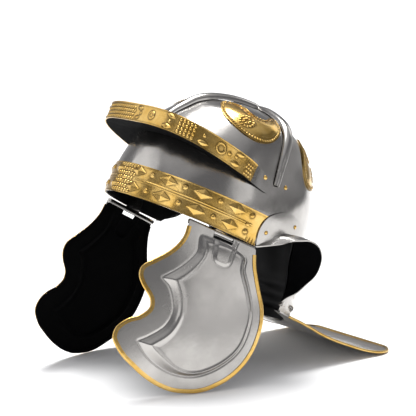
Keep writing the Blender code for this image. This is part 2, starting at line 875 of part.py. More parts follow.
def neck_guard():
    outline = neck_outline()
    count = len(outline)
    columns = []
    for k, rim in enumerate(outline):
        turn = EAR_SECTIONS[-1][2] + (90 - EAR_SECTIONS[-1][2]) * k / (count - 1)
        root = bowl_point(turn, nape_rim(turn))
        inner = Vector((root.x, root.y))
        inner -= inner.normalized() * NECK_LAP
        if k == count - 1:
            inner.x = 0
        column = []
        margin = 1 - 1.6 * NECK_EDGING_WIDTH / (rim - inner).length
        for share in (0, margin / 3, 2 * margin / 3, margin, 1):
            flat = inner + (rim - inner) * share
            column.append(Vector((flat.x, flat.y, neck_height(flat.y))))
        columns.append(column)
    return sheet(
        "neck_guard", columns, STEEL_WALL, "steel", outward=False, core=(0, 0, -1), whole=True
    )


def channel_rings(path, normals, inward, wall_between, width):
    """A folded channel over a sheet's edge: its section at each point of the path.
    The path runs along the middle of the sheet's edge."""
    half = wall_between / 2 + EDGING_PLAY
    outer = half + BRASS_WALL
    rings = []
    for point, normal, inner in zip(path, normals, inward):
        pairs = (
            (width, outer), (-0.4 * outer, outer), (-outer, 0),
            (-0.4 * outer, -outer), (width, -outer),
            (width, -half), (-SEAT_GAP, -half), (-SEAT_GAP, half), (width, half),
        )
        rings.append([point + inner * a + normal * b for a, b in pairs])
    return rings


def neck_guard_edging():
    outline = neck_outline()[1:]
    path = [Vector((p.x, p.y, neck_height(p.y))) for p in outline]
    path = path + mirrored(reversed(path[:-1]))
    normals, inward = [], []
    for k, point in enumerate(path):
        ahead = path[min(k + 1, len(path) - 1)]
        behind = path[max(k - 1, 0)]
        along = (ahead - behind).normalized()
        run = 1.6 * NECK_EDGING_WIDTH
        up = Vector((0, neck_height(point.y - run) - neck_height(point.y), run)).normalized()
        side = up.cross(along).normalized()
        if side.dot(Vector((0, BOWL_REAR, point.z)) - point) < 0:
            side = -side
        normals.append(up)
        inward.append(side)
    path = [point - up * (STEEL_WALL / 2) for point, up in zip(path, normals)]
    rings = channel_rings(path, normals, inward, STEEL_WALL, NECK_EDGING_WIDTH)
    return loft("neck_guard_edging", rings, "brass")


def hinge_frame():
    """Matrix of the left hinge: X along the pin to the rear, Y out of the guard, Z down it."""
    front = Vector((HINGE_FRONT_X, HINGE_FRONT_Y, -HINGE_DROP))
    rear = Vector((HINGE_REAR_X, HINGE_REAR_Y, -HINGE_DROP))
    along = (rear - front).normalized()
    level = along.cross(Vector((0, 0, 1)))
    lean = math.radians(HINGE_SPLAY)
    out = level * math.cos(lean) + Vector((0, 0, math.sin(lean)))
    down = along.cross(out)
    frame = Matrix((along, out, down)).transposed().to_4x4()
    frame.translation = front
    return frame, (rear - front).length


def cheek_bow(along, down):
    """How far the guard's outer face bows out: flat at the hinge, fullest at mid depth."""
    across = (along / CHEEK_WIDTH - 0.29) / 0.5
    share = min(1, down / CHEEK_DEPTH)
    return CHEEK_BOW * (1 - across ** 2) * 4 * share * (1 - share)


def cheek_point(down, along, lift=0.0):
    """A point on the guard's outer face, in the hinge's frame."""
    return Vector((along, KNUCKLE_RADIUS + cheek_bow(along, down) + lift, down))


def cheek_plate(name):
    """The guard's open sheet: margin, step up and raised panel, row by row."""
    last = len(CHEEK_SECTIONS) - 1
    rows = []
    for index, (outer, panel) in enumerate(zip(CHEEK_SECTIONS, PANEL_SECTIONS)):
        down, panel_down = outer[0] * CHEEK_DEPTH, panel[0] * CHEEK_DEPTH
        near, far = panel[1] * CHEEK_WIDTH, panel[2] * CHEEK_WIDTH
        step = min(PANEL_STEP, (far - near) / 3)
        lift = PANEL_RELIEF if 0 < index < last else 0.0
        points = [cheek_point(down, outer[1] * CHEEK_WIDTH), cheek_point(panel_down, near)]
        for k in range(4):
            at = near + step + (far - near - 2 * step) * k / 3
            points.append(cheek_point(panel_down, at, lift))
        points += [cheek_point(panel_down, far), cheek_point(down, outer[2] * CHEEK_WIDTH)]
        rows.append(points)
    first, end = (share * CHEEK_WIDTH for share in CHEEK_SECTIONS[0][1:])
    edge = [Vector((first + (end - first) * k / 7, KNUCKLE_RADIUS, 0)) for k in range(8)]
    rows[0][0], rows[0][-1] = (cheek_point(rows[0][1].z, at) for at in (first, end))
    return sheet(name, [edge] + rows, STEEL_WALL, "steel", outward=False, core=(0, -1, 0))


def tube_along(name, start, end, outer, inner, segments=12):
    """A tube along the hinge's X axis, or a solid bar when inner is zero."""
    rings = []
    if inner > 0:
        stops = ((start, outer), (end, outer), (end, inner), (start, inner))
    else:
        stops = ((start, outer), (end, outer))
    for x, radius in stops:
        rings.append([
            Vector((x, radius * math.cos(2 * math.pi * k / segments),
                    radius * math.sin(2 * math.pi * k / segments)))
            for k in range(segments)
        ])
    if inner > 0:
        rings.append(rings[0])
    return loft(name, rings, "steel", capped=inner == 0)


def block(name, low, high, finish="steel"):
    work = bmesh.new()
    bmesh.ops.create_cube(work, size=1)
    for vert in work.verts:
        for axis in range(3):
            vert.co[axis] = high[axis] if vert.co[axis] > 0 else low[axis]
    mesh = bpy.data.meshes.new(name)
    work.to_mesh(mesh)
    work.free()
    return add_object(name, mesh, finish)


def cheek_guard():
    """The left guard in its hinge's frame: plate, slot for the strap and two knuckles."""
    plate = freeze(cheek_plate("cheek_guard_left"))
    bore = PIN_RADIUS + PIN_PLAY
    length = hinge_frame()[1]
    slot_start = STRAP_START - RUNNING_GAP
    slot_end = STRAP_START + STRAP_WIDTH + RUNNING_GAP
    slot = block(
        "slot", (slot_start, -10 * MM, -20 * MM), (slot_end, 20 * MM, SLOT_DEPTH)
    )
    boolean(plate, slot, "DIFFERENCE")
    front = tube_along("front_knuckle", 1.0 * MM, slot_start, KNUCKLE_RADIUS, bore)
    rear = tube_along("rear_knuckle", slot_end, length - 1.0 * MM, KNUCKLE_RADIUS, bore)
    boolean(plate, front, "UNION")
    boolean(plate, rear, "UNION")
    return plate


def cheek_normal(down, along):
    """The outward normal of the guard's face."""
    step = 2 * MM
    across = cheek_point(down, along + step) - cheek_point(down, along - step)
    below = cheek_point(down + step, along) - cheek_point(down - step, along)
    return below.cross(across).normalized()


def cheek_edging():
    """A folded channel round the guard, from its front top corner to its rear top corner."""
    front, rear = [], []
    for down, first, last in CHEEK_SECTIONS[1:]:
        front.append((down * CHEEK_DEPTH, first * CHEEK_WIDTH))
        rear.append((down * CHEEK_DEPTH, last * CHEEK_WIDTH))
    places = front + list(reversed(rear[:-1]))
    points = [cheek_point(*place) for place in places]
    normals, inward, centres = [], [], []
    for k, point in enumerate(points):
        ahead = points[min(k + 1, len(points) - 1)] - point
        behind = point - points[max(k - 1, 0)]
        along = (ahead.normalized() + behind.normalized()).normalized()
        normal = cheek_normal(*places[k])
        normals.append(normal)
        inward.append(normal.cross(along).normalized())
        centres.append(point - normal * (STEEL_WALL / 2))
    rings = channel_rings(centres, normals, inward, STEEL_WALL, CHEEK_EDGING_WIDTH)
    return loft("cheek_edging_left", rings, "brass")


def hinge_strap():
    """Middle knuckle and the leaf that goes up inside the bowl, in the hinge's frame."""
    frame = hinge_frame()[0]
    to_hinge = frame.inverted()
    bore = PIN_RADIUS + PIN_PLAY
    start, end = STRAP_START, STRAP_START + STRAP_WIDTH
    strap = tube_along("hinge_strap_left", start, end, KNUCKLE_RADIUS, bore)
    root = -0.5 * (bore + KNUCKLE_RADIUS)
    stations = [None, 0.0, STRAP_LEAF / 2, STRAP_LEAF]
    rings = []
    for height in stations:
        outer, inner = [], []
        for k in range(5):
            along = start + (end - start) * k / 4
            turn = turn_at((frame @ Vector((along, 0, 0))).y, 0)
            for side, depth in ((outer, 0), (inner, STRAP_WALL)):
                level = height if height is not None else 0.0
                point = to_hinge @ bowl_point(turn, level, -STEEL_WALL - STRAP_SEAT - depth)
                if height is None:
                    point = Vector((along, KNUCKLE_RADIUS - 0.9 * MM - depth, root))
                side.append(point)
        rings.append(outer + list(reversed(inner)))
    leaf = loft("leaf", rings, "steel")
    return boolean(strap, leaf, "UNION")


def rivet(name, point, normal, radius=RIVET_RADIUS, rise=RIVET_RISE):
    """A domed brass head: a turned profile that stands on the surface."""
    profile = [(0.0, rise), (0.45 * radius, 0.88 * rise), (0.85 * radius, 0.45 * rise),
               (radius, 0.0), (0.0, 0.0)]
    mesh = bpy.data.meshes.new(name)
    mesh.from_pydata([(x, 0, z) for x, z in profile], [(k, k + 1) for k in range(4)], [])
    piece = add_object(name, mesh, "brass")
    screw = piece.modifiers.new("turned", "SCREW")
    screw.steps = screw.render_steps = 8
    screw.use_merge_vertices = True
    screw.merge_threshold = 1e-6
    piece.matrix_world = (
        Matrix.Translation(point) @ normal.to_track_quat("Z", "Y").to_matrix().to_4x4()
    )
    return piece


def rivet_pair(name, turn, height, lift):
    """The same rivet on both sides of the helmet."""
    place = section_place(height)
    point = on_section(turn, place)
    normal = bowl_normal(turn, place)
    point = point + normal * lift
    made = []
    for side, word in ((1, "left"), (-1, "right")):
        made.append(rivet(
            f"{name}_{word}",
            Vector((side * point.x, point.y, point.z)),
            Vector((side * normal.x, normal.y, normal.z)),
        ))
    return made


def rivets():
    """Every brass rivet that shows, apart from those of the plaques."""
    on_plate = SEAT_GAP * 2 + STEEL_WALL
    on_band = SEAT_GAP * 2 + BRASS_WALL
    made = []
    for name, turn, share in EAR_RIVETS:
        made += rivet_pair(name, turn, share * EAR_ARCH_HEIGHT, on_plate)
    plan = peak_plan(PEAK_RIVET_TURN, PEAK_RIVET_LEVEL, -SEAT_GAP)
    middle = peak_height(plan.y) + PEAK_LIP * PEAK_RIVET_LEVEL
    for side, word in ((1, "left"), (-1, "right")):
        out = Vector((side * plan.x, plan.y, 0))
        made.append(rivet(f"peak_rivet_{word}", out + Vector((0, 0, middle)), out.normalized()))
    low = BRACE_SIDE_HEIGHT + BRACE_RIVET_RISE
    made += rivet_pair("brace_rivet", BRACE_RIVET_TURN, low, SEAT_GAP)
    made += rivet_pair("band_rivet", BAND_RIVET_TURN, 0.5 * BAND_HEIGHT, on_band + BAND_RELIEF)
    for name, turn, height, lift in (
        ("brace_rivet_rear", 90.0, BRACE_REAR_HEIGHT - BRACE_RIVET_DROP, SEAT_GAP),
        ("band_rivet_front", -90.0, 0.5 * BAND_HEIGHT, on_band + BAND_RELIEF),
    ):
        place = section_place(height)
        point = on_section(turn, place)
        point.x = 0
        normal = bowl_normal(turn, place)
        normal.x = 0
        normal.normalize()
        made.append(rivet(name, point + normal * lift, normal))
    return made


def points_of(pieces):
    """Every point of the pieces, modifiers counted, in the helmet's own frame."""
    graph = bpy.context.evaluated_depsgraph_get()
    clouds = []
    for piece in pieces:
        seen = piece.evaluated_get(graph)
        mesh = seen.to_mesh()
        points = np.empty(len(mesh.vertices) * 3)
        mesh.vertices.foreach_get("co", points)
        place = np.array(piece.matrix_world)
        clouds.append(points.reshape(-1, 3) @ place[:3, :3].T + place[:3, 3])
        seen.to_mesh_clear()
    return np.concatenate(clouds)


def tipped(points, angle):
    c, s = math.cos(angle), math.sin(angle)
    return points @ np.array([[1, 0, 0], [0, c, s], [0, -s, c]]).T


def stand_on_floor(guards, others, carrier):
    """Tips the helmet back until cheek guards and neck guard touch the floor, and centres it."""
    legs, rest = points_of(guards), points_of(others)
    low, high = 0.0, math.radians(60)
    for _ in range(50):
        angle = (low + high) / 2
        if tipped(rest, angle)[:, 2].min() > tipped(legs, angle)[:, 2].min():
            low = angle
        else:
            high = angle
    every = tipped(np.concatenate((legs, rest)), angle)
    carrier.rotation_euler = (-angle, 0, 0)
    carrier.location = (
        -(every[:, 0].min() + every[:, 0].max()) / 2,
        -(every[:, 1].min() + every[:, 1].max()) / 2,
        -every[:, 2].min(),
    )


def build():
    for old in list(bpy.data.objects):
        bpy.data.objects.remove(old)
    group = "roman_legionary_helmet"
    carrier = bpy.data.objects.new("helmet_rest", None)
    collection(group).objects.link(carrier)

    fixed = [skull_bowl(), brow_band(), peak(), peak_strip(), crown_brace()]
    for where in PLAQUE_PLACES:
        for side, word in ((1, "left"), (-1, "right")):
            fixed.append(crown_plaque(f"crown_plaque_{where}_{word}", side, where))
    left_ear = freeze(ear_guard())
    fixed += [left_ear, mirror_copy(left_ear, "ear_guard_right")]
    fixed += [neck_guard(), neck_guard_edging()]
    fixed += rivets()

    frame, length = hinge_frame()
    flip = Matrix.Scale(-1, 4, (1, 0, 0))
    strap = hinge_strap()
    pin = tube_along("hinge_pin_left", 0.0, length, PIN_RADIUS, 0)
    guard = cheek_guard()
    edging = cheek_edging()
    moving = []
    for piece in (strap, pin, guard, edging):
        piece.data.transform(frame)
        piece.data.update()
        face_outwards(piece.data)
        other = mirror_copy(piece, piece.name.replace("left", "right"))
        if piece in (strap, pin):
            fixed += [piece, other]
        else:
            moving += [(piece, 1), (other, -1)]
    bpy.context.view_layer.update()

    for piece in fixed:
        piece.parent = carrier
    for side, word in ((1, "left"), (-1, "right")):
        axis = bpy.data.objects.new(f"hinge_axis_{word}", None)
        collection(group).objects.link(axis)
        place = frame.copy() if side > 0 else flip @ frame @ flip
        axis.matrix_world = place
        axis.parent = carrier
        bpy.context.view_layer.update()
        for piece, own in moving:
            if own == side:
                piece.data.transform(place.inverted())
                piece.parent = axis
    bpy.context.view_layer.update()
    stand_on_floor([piece for piece, _ in moving], fixed, carrier)
    bpy.context.view_layer.update()


build()
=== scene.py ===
import math

import bmesh
import bpy
import numpy as np
from mathutils import Matrix, Vector


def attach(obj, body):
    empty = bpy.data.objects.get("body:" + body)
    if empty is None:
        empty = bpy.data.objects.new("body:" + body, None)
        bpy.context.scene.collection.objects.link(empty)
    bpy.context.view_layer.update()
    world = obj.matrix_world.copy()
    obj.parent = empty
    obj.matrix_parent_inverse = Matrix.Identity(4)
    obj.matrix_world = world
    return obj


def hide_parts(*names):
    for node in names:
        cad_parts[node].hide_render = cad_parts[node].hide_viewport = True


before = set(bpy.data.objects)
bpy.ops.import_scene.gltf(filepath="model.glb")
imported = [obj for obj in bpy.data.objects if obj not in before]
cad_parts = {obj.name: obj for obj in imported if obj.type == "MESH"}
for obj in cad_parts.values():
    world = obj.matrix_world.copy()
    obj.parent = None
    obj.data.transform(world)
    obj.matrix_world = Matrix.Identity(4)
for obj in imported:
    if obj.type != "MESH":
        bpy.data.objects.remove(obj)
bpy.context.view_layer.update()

# Everything is worked out in the helmet's own frame, in millimetres: the origin is the middle of
# the bowl's front rim plane, x points to the wearer's left, y to the back and z up through the
# crown. The helmet then leans back and stands on its cheek guards and neck guard.
stand = {"lean": 26.7163, "back": -40.398, "height": 164.65}
sheets = {"steel": 1.5, "brass": 0.9, "gap": 0.3}


# small tools

def toWorld(points):
    # turns about x by the lean, lifts onto the floor and goes from millimetres to metres
    c, s = math.cos(math.radians(stand["lean"])), math.sin(math.radians(stand["lean"]))
    x, y, z = points[..., 0], points[..., 1], points[..., 2]
    worldY = y * c + z * s + stand["back"]
    worldZ = -y * s + z * c + stand["height"]
    return np.stack((x, worldY, worldZ), axis=-1) * 0.001


def unit(v):
    length = np.linalg.norm(v, axis=-1, keepdims=True)
    return v / np.where(length < 1e-12, 1, length)


def smoothStep(low, high, x):
    t = np.clip((x - low) / (high - low), 0, 1)
    return t * t * (3 - 2 * t)


def rowCurve(table, place):
    # Hermite curve through the rows of a table, each tangent half the step between its neighbours
    table = np.asarray(table, float)
    last = len(table) - 1
    place = np.clip(np.asarray(place, float), 0, last)
    i = np.minimum(place.astype(int), last - 1)
    t = (place - i)[..., None]
    a, b = table[np.maximum(i - 1, 0)], table[i]
    c, d = table[i + 1], table[np.minimum(i + 2, last)]
    first, final = (i == 0)[..., None], (i + 2 > last)[..., None]
    slopeB = np.where(first, c - b, (c - a) / 2)
    slopeC = np.where(final, c - b, (d - b) / 2)
    start = b * (1 + 2 * t) * (1 - t) ** 2 + slopeB * t * (1 - t) ** 2
    return start + c * (3 - 2 * t) * t ** 2 + slopeC * t ** 2 * (t - 1)


def gridMesh(name, points, wrapAlong=False, wrapAround=False, caps=False, skip=(),
             finish=(), finishRows=None, layers=None, sharp=38, weld=True):
    # A surface on a grid: points[i, j] is station i along and row j around. Quads join
    # neighbours, caps close the ends, and the whole is turned so that it faces outwards.
    n, m = points.shape[:2]
    i = np.arange(n if wrapAlong else n - 1)
    j = np.array([k for k in range(m if wrapAround else m - 1) if k not in skip])
    i, j = (g.ravel() for g in np.meshgrid(i, j, indexing="ij"))
    k, l = (i + 1) % n, (j + 1) % m
    quads = np.stack((i * m + j, i * m + l, k * m + l, k * m + j), axis=1)
    flat = toWorld(points.reshape(-1, 3))
    p = [flat[quads[:, q]] for q in range(4)]
    volume = (p[0] * (np.cross(p[1], p[2]) + np.cross(p[2], p[3]))).sum()
    faces = quads.tolist()
    rows = j.tolist()
    if caps:
        faces += [list(range(m))[::-1], [(n - 1) * m + q for q in range(m)]]
        rows += [0, 0]
    if volume < 0:
        faces = [f[::-1] for f in faces]
    mesh = bpy.data.meshes.new(name)
    mesh.from_pydata(flat.tolist(), [], faces)
    for material in finish:
        mesh.materials.append(material)
    if finishRows is not None:
        mesh.polygons.foreach_set("material_index", [int(finishRows[r]) for r in rows])
    for key, values in (layers or {}).items():
        layer = mesh.attributes.new(key, "FLOAT", "POINT")
        layer.data.foreach_set("value", np.ascontiguousarray(values, dtype=np.float32).ravel())
    if weld:
        weldMesh(mesh)
    mesh.shade_smooth()
    mesh.set_sharp_from_angle(angle=math.radians(sharp))
    piece = bpy.data.objects.new(name, mesh)
    bpy.context.scene.collection.objects.link(piece)
    return piece


def weldMesh(mesh):
    # merges points that fall together at poles and seams
    work = bmesh.new()
    work.from_mesh(mesh)
    bmesh.ops.remove_doubles(work, verts=work.verts, dist=2e-6)
    bmesh.ops.dissolve_degenerate(work, edges=work.edges, dist=1e-7)
    work.to_mesh(mesh)
    work.free()


def joinMeshes(name, pieces):
    # several closed surfaces that make one real piece
    work = bmesh.new()
    for piece in pieces:
        work.from_mesh(piece.data)
    first = pieces[0]
    work.to_mesh(first.data)
    work.free()
    for piece in pieces[1:]:
        bpy.data.objects.remove(piece)
    first.name = first.data.name = name
    return first


def seat(piece, body, slot, *nodes):
    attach(piece, body)
    if nodes:
        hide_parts(*nodes)
    return piece


# finishes

def linear(code):
    # sRGB hex to linear light
    parts = [int(code[k:k + 2], 16) / 255 for k in (1, 3, 5)]
    return [v / 12.92 if v <= 0.04045 else ((v + 0.055) / 1.055) ** 2.4 for v in parts] + [1]


def addNode(tree, kind, settings=None, **links):
    # one node with its settings; a link is either a socket or a value, by the input's name
    node = tree.nodes.new("ShaderNode" + kind)
    for key, value in (settings or {}).items():
        setattr(node, key, value)
    for key, value in links.items():
        key = int(key[1:]) if key[1:].isdigit() else key.replace("_", " ")
        socket = node.inputs[key]
        if isinstance(value, bpy.types.NodeSocket):
            tree.links.new(value, socket)
        else:
            socket.default_value = value
    return node


def blankMaterial(name):
    material = bpy.data.materials.new(name)
    material.use_nodes = True
    return material, material.node_tree, material.node_tree.nodes["Principled BSDF"]


def ramp(tree, source, stops):
    node = addNode(tree, "ValToRGB", Fac=source)
    for index, (at, value) in enumerate(stops):
        stop = node.color_ramp.elements[index] if index < 2 else node.color_ramp.elements.new(at)
        stop.position = at
        stop.color = value if isinstance(value, list) else [value, value, value, 1]
    return node.outputs["Color"]


steelLook = {
    "colour": "#BCB9B5", "cloud": "#ACA9A5", "spot": "#6E6A63",
    "roughLow": 0.16, "roughHigh": 0.30, "scratchDepth": 0.000006, "cloudSize": 45,
}


def polishedSteel(name, look):
    # mild steel sheet, buffed on a mop: soft cloudy gloss, hairline scratches, a few dark pits
    material, tree, shader = blankMaterial(name)
    place = addNode(tree, "TexCoord").outputs["Object"]
    cloud = addNode(tree, "TexNoise", Vector=place, Scale=1000 / look["cloudSize"],
                    Detail=4.0, Roughness=0.55).outputs["Fac"]
    grain = addNode(tree, "TexNoise", Vector=place, Scale=1000 / 3.0,
                    Detail=6.0, Roughness=0.7).outputs["Fac"]
    swirl = addNode(tree, "Mapping", Vector=place, Scale=(70, 900, 1400),
                    Rotation=(0.5, 0.2, 0.35)).outputs[0]
    hair = addNode(tree, "TexNoise", Vector=swirl, Scale=1.0, Detail=3.0,
                   Roughness=0.6).outputs["Fac"]
    swirl2 = addNode(tree, "Mapping", Vector=place, Scale=(1300, 80, 1000),
                     Rotation=(0.1, 0.6, -0.5)).outputs[0]
    hair2 = addNode(tree, "TexNoise", Vector=swirl2, Scale=1.0, Detail=3.0,
                    Roughness=0.6).outputs["Fac"]
    pits = addNode(tree, "TexVoronoi", Vector=place, Scale=1000 / 9.0).outputs["Distance"]
    pitMask = ramp(tree, pits, [(0.0, 1.0), (0.06, 0.0)])
    sparse = ramp(tree, addNode(tree, "TexNoise", Vector=place, Scale=1000 / 40.0,
                                Detail=1.0).outputs["Fac"], [(0.60, 0.0), (0.66, 0.8)])
    pitMask = addNode(tree, "Math", {"operation": "MULTIPLY"}, _0=pitMask, _1=sparse).outputs[0]
    tone = addNode(tree, "Mix", {"data_type": "RGBA"}, Factor=ramp(
        tree, cloud, [(0.35, 0.0), (0.7, 1.0)]), _6=linear(look["colour"]),
        _7=linear(look["cloud"])).outputs[2]
    tone = addNode(tree, "Mix", {"data_type": "RGBA"}, Factor=pitMask, _6=tone,
                   _7=linear(look["spot"])).outputs[2]
    tree.links.new(tone, shader.inputs["Base Color"])
    shader.inputs["Metallic"].default_value = 1
    mixed = addNode(tree, "Math", {"operation": "MULTIPLY_ADD"}, _0=grain, _1=0.35,
                    _2=cloud).outputs[0]
    rough = addNode(tree, "MapRange", Value=mixed, From_Min=0.45, From_Max=0.95,
                    To_Min=look["roughLow"], To_Max=look["roughHigh"]).outputs[0]
    tree.links.new(rough, shader.inputs["Roughness"])
    hairs = addNode(tree, "Math", {"operation": "ADD"}, _0=hair, _1=hair2).outputs[0]
    bump = addNode(tree, "Bump", Height=hairs, Strength=0.2,
                   Distance=look["scratchDepth"]).outputs[0]
    dents = addNode(tree, "Bump", Height=cloud, Strength=0.5, Distance=0.0006,
                    Normal=bump).outputs[0]
    tree.links.new(dents, shader.inputs["Normal"])
    return material


brassLook = {
    "colour": "#DFBC74", "warm": "#CFA655", "patina": "#3E280A",
    "roughLow": 0.13, "roughHigh": 0.27,
}


def polishedBrass(name, look):
    # thin embossed brass sheet, buffed: mirror crests, browner film left in the hollows
    material, tree, shader = blankMaterial(name)
    place = addNode(tree, "TexCoord").outputs["Object"]
    cloud = addNode(tree, "TexNoise", Vector=place, Scale=1000 / 22.0, Detail=4.0,
                    Roughness=0.6).outputs["Fac"]
    grain = addNode(tree, "TexNoise", Vector=place, Scale=1000 / 1.6, Detail=5.0,
                    Roughness=0.65).outputs["Fac"]
    hollow = addNode(tree, "Attribute", {"attribute_name": "hollow"}).outputs["Fac"]
    film = addNode(tree, "Math", {"operation": "MULTIPLY"}, _0=hollow, _1=ramp(
        tree, grain, [(0.25, 0.35), (0.7, 1.0)])).outputs[0]
    tone = addNode(tree, "Mix", {"data_type": "RGBA"}, Factor=ramp(
        tree, cloud, [(0.35, 0.0), (0.65, 1.0)]), _6=linear(look["colour"]),
        _7=linear(look["warm"])).outputs[2]
    tone = addNode(tree, "Mix", {"data_type": "RGBA"}, Factor=film, _6=tone,
                   _7=linear(look["patina"])).outputs[2]
    tree.links.new(tone, shader.inputs["Base Color"])
    shader.inputs["Metallic"].default_value = 1
    rough = addNode(tree, "MapRange", Value=grain, From_Min=0.3, From_Max=0.7,
                    To_Min=look["roughLow"], To_Max=look["roughHigh"]).outputs[0]
    rough = addNode(tree, "Math", {"operation": "MULTIPLY_ADD"}, _0=film, _1=0.25,
                    _2=rough).outputs[0]
    tree.links.new(rough, shader.inputs["Roughness"])
    fine = addNode(tree, "Bump", Height=grain, Strength=0.25, Distance=0.00002).outputs[0]
    wavy = addNode(tree, "Bump", Height=cloud, Strength=0.5, Distance=0.0008,
                   Normal=fine).outputs[0]
    tree.links.new(wavy, shader.inputs["Normal"])
    return material


dullLook = {"low": "#050506", "high": "#0B0B0C", "roughLow": 0.72, "roughHigh": 0.88,
            "gloss": 0.03}
satinLook = {"low": "#0B0B0C", "high": "#141415", "roughLow": 0.34, "roughHigh": 0.5,
             "gloss": 0.22}


def blackPaint(name, look):
    # black enamel sprayed on the inner faces: faint orange peel, a little dust in the gloss
    material, tree, shader = blankMaterial(name)
    place = addNode(tree, "TexCoord").outputs["Object"]
    peel = addNode(tree, "TexNoise", Vector=place, Scale=1000 / 1.8, Detail=3.0).outputs["Fac"]
    dust = addNode(tree, "TexNoise", Vector=place, Scale=1000 / 14.0, Detail=5.0,
                   Roughness=0.65).outputs["Fac"]
    tone = addNode(tree, "Mix", {"data_type": "RGBA"}, Factor=ramp(
        tree, dust, [(0.45, 0.0), (0.75, 1.0)]), _6=linear(look["low"]),
        _7=linear(look["high"])).outputs[2]
    tree.links.new(tone, shader.inputs["Base Color"])
    rough = addNode(tree, "MapRange", Value=dust, From_Min=0.3, From_Max=0.7,
                    To_Min=look["roughLow"], To_Max=look["roughHigh"]).outputs[0]
    tree.links.new(rough, shader.inputs["Roughness"])
    shader.inputs["Specular IOR Level"].default_value = look["gloss"]
    bump = addNode(tree, "Bump", Height=peel, Strength=0.25, Distance=0.00004).outputs[0]
    tree.links.new(bump, shader.inputs["Normal"])
    return material


steel = polishedSteel("buffedMildSteel", steelLook)
brass = polishedBrass("embossedBrass", brassLook)
black = blackPaint("dullBlackEnamel", dullLook)
satinBlack = blackPaint("satinBlackEnamel", satinLook)
print("finishes made")


# the bowl's surface, which nearly every piece is seated on

bowlRows = np.array([
    # height, half width, front, rear, how far back the middle is
    [-58.00, 103.8, 109.2, 166.0, 0.0],
    [-37.12, 103.8, 109.2, 164.9, 0.0],
    [-15.08, 103.3, 109.2, 157.9, 0.0],
    [0.00, 102.3, 109.2, 149.8, 0.0],
    [18.06, 104.1, 108.9, 143.4, 0.0],
    [36.11, 105.4, 107.5, 140.0, 0.0],
    [56.05, 103.5, 104.2, 137.5, 0.0],
    [75.05, 100.1, 98.8, 132.4, 0.0],
    [95.93, 94.5, 91.2, 122.9, 1.4],
    [111.00, 90.0, 81.0, 112.4, 4.5],
    [124.03, 84.5, 69.0, 100.0, 8.1],
    [134.08, 76.5, 58.4, 86.9, 11.2],
    [143.03, 62.4, 42.6, 71.0, 14.0],
    [149.94, 42.4, 23.5, 55.0, 16.2],
    [154.65, 23.0, 3.3, 37.9, 17.6],
    [157.00, 0.0, -18.0, 18.0, 18.0],
])
topPlace = len(bowlRows) - 1
crownHeight, crownBack = bowlRows[-1, 0], bowlRows[-1, 4]
densePlaces = np.linspace(0, topPlace, 3001)
denseHeights = np.maximum.accumulate(rowCurve(bowlRows, densePlaces)[:, 0])

earRows = np.array([
    # plate turn, plate height, root turn, root height, flare out, back, up (all mm but turns)
    [8.6, 1.4, 9.5, 0.6, 3.2, -2.6, -1.6],
    [6.8, 16.8, 15.5, 13.4, 9.9, 9.6, -0.3],
    [8.1, 32.5, 19.5, 22.1, 14.1, 11.5, -1.0],
    [13.5, 43.7, 24.0, 26.9, 18.9, 12.5, -0.6],
    [21.1, 50.7, 29.0, 28.6, 23.7, 14.1, 1.9],
    [31.2, 50.4, 33.5, 26.9, 28.2, 17.0, 1.6],
    [41.2, 43.1, 36.0, 22.1, 30.1, 20.8, 0.0],
    [46.0, 28.0, 37.3, 10.1, 31.7, 20.5, 1.6],
    [46.5, 8.4, 37.8, -3.1, 30.7, 17.0, 1.9],
    [46.0, -11.2, 38.0, -16.0, 26.2, 7.4, 1.0],
    [45.0, -25.2, 38.1, -28.0, 21.1, 0.0, 0.0],
    [43.5, -36.4, 38.2, -38.1, 15.0, -8.3, 0.0],
    [42.0, -46.5, 38.3, -47.6, 8.3, -11.8, -0.6],
])

neckRows = np.array([
    # back, height
    [57.2, -49.3], [93.8, -52.5], [114.1, -54.5], [134.1, -55.5], [151.0, -56.5],
    [167.0, -57.9], [187.0, -57.9], [207.9, -56.5], [236.0, -53.7], [258.0, -48.8],
    [278.0, -41.3], [286.0, -37.1],
])


def onBowl(turn, place):
    # two half ellipses that share their width: x = A cos T, y = middle + reach sin T
    row = rowCurve(bowlRows, place)
    height, width, front, rear, middle = (row[..., k] for k in range(5))
    angle = np.radians(turn)
    reach = np.where(turn > 0, rear - middle, front + middle)
    return np.stack(np.broadcast_arrays(
        width * np.cos(angle), middle + reach * np.sin(angle), height + 0 * angle), axis=-1)


def bowlNormal(turn, place):
    along = onBowl(turn + 0.6, place) - onBowl(turn - 0.6, place)
    up = onBowl(turn, np.minimum(place + 0.02, topPlace)) - onBowl(turn, place - 0.02)
    normal = np.cross(along, up)
    flat = np.linalg.norm(normal, axis=-1, keepdims=True) < 1e-7
    return np.where(flat, np.array([0.0, 0.0, 1.0]), unit(normal))


def placeAt(height):
    return np.interp(height, denseHeights, densePlaces)


def bowlPoint(turn, height, lift=0.0):
    turn, height, lift = np.broadcast_arrays(*(np.asarray(v, float) for v in (turn, height, lift)))
    place = placeAt(height)
    return onBowl(turn, place) + bowlNormal(turn, place) * lift[..., None]


def arcTable(height):
    # arc length along the bowl at one height, from the front middle: turn against length
    turns = np.linspace(-90, 60, 601)
    line = bowlPoint(turns, height)
    steps = np.linalg.norm(np.diff(line, axis=0), axis=1)
    return turns, np.concatenate(([0], np.cumsum(steps)))


def turnAtBack(back, height):
    # the turn at which the bowl is that far back, for arrays
    row = rowCurve(bowlRows, placeAt(height))
    front, rear, middle = row[..., 2], row[..., 3], row[..., 4]
    reach = np.where(back > middle, rear - middle, front + middle)
    return np.degrees(np.arcsin(np.clip((back - middle) / reach, -1, 1)))


def neckHeight(back):
    # the neck guard's height at a distance back, read off the smooth curve through its rows
    curve = rowCurve(neckRows, np.linspace(0, len(neckRows) - 1, 400))
    return np.interp(back, curve[:, 0], curve[:, 1])


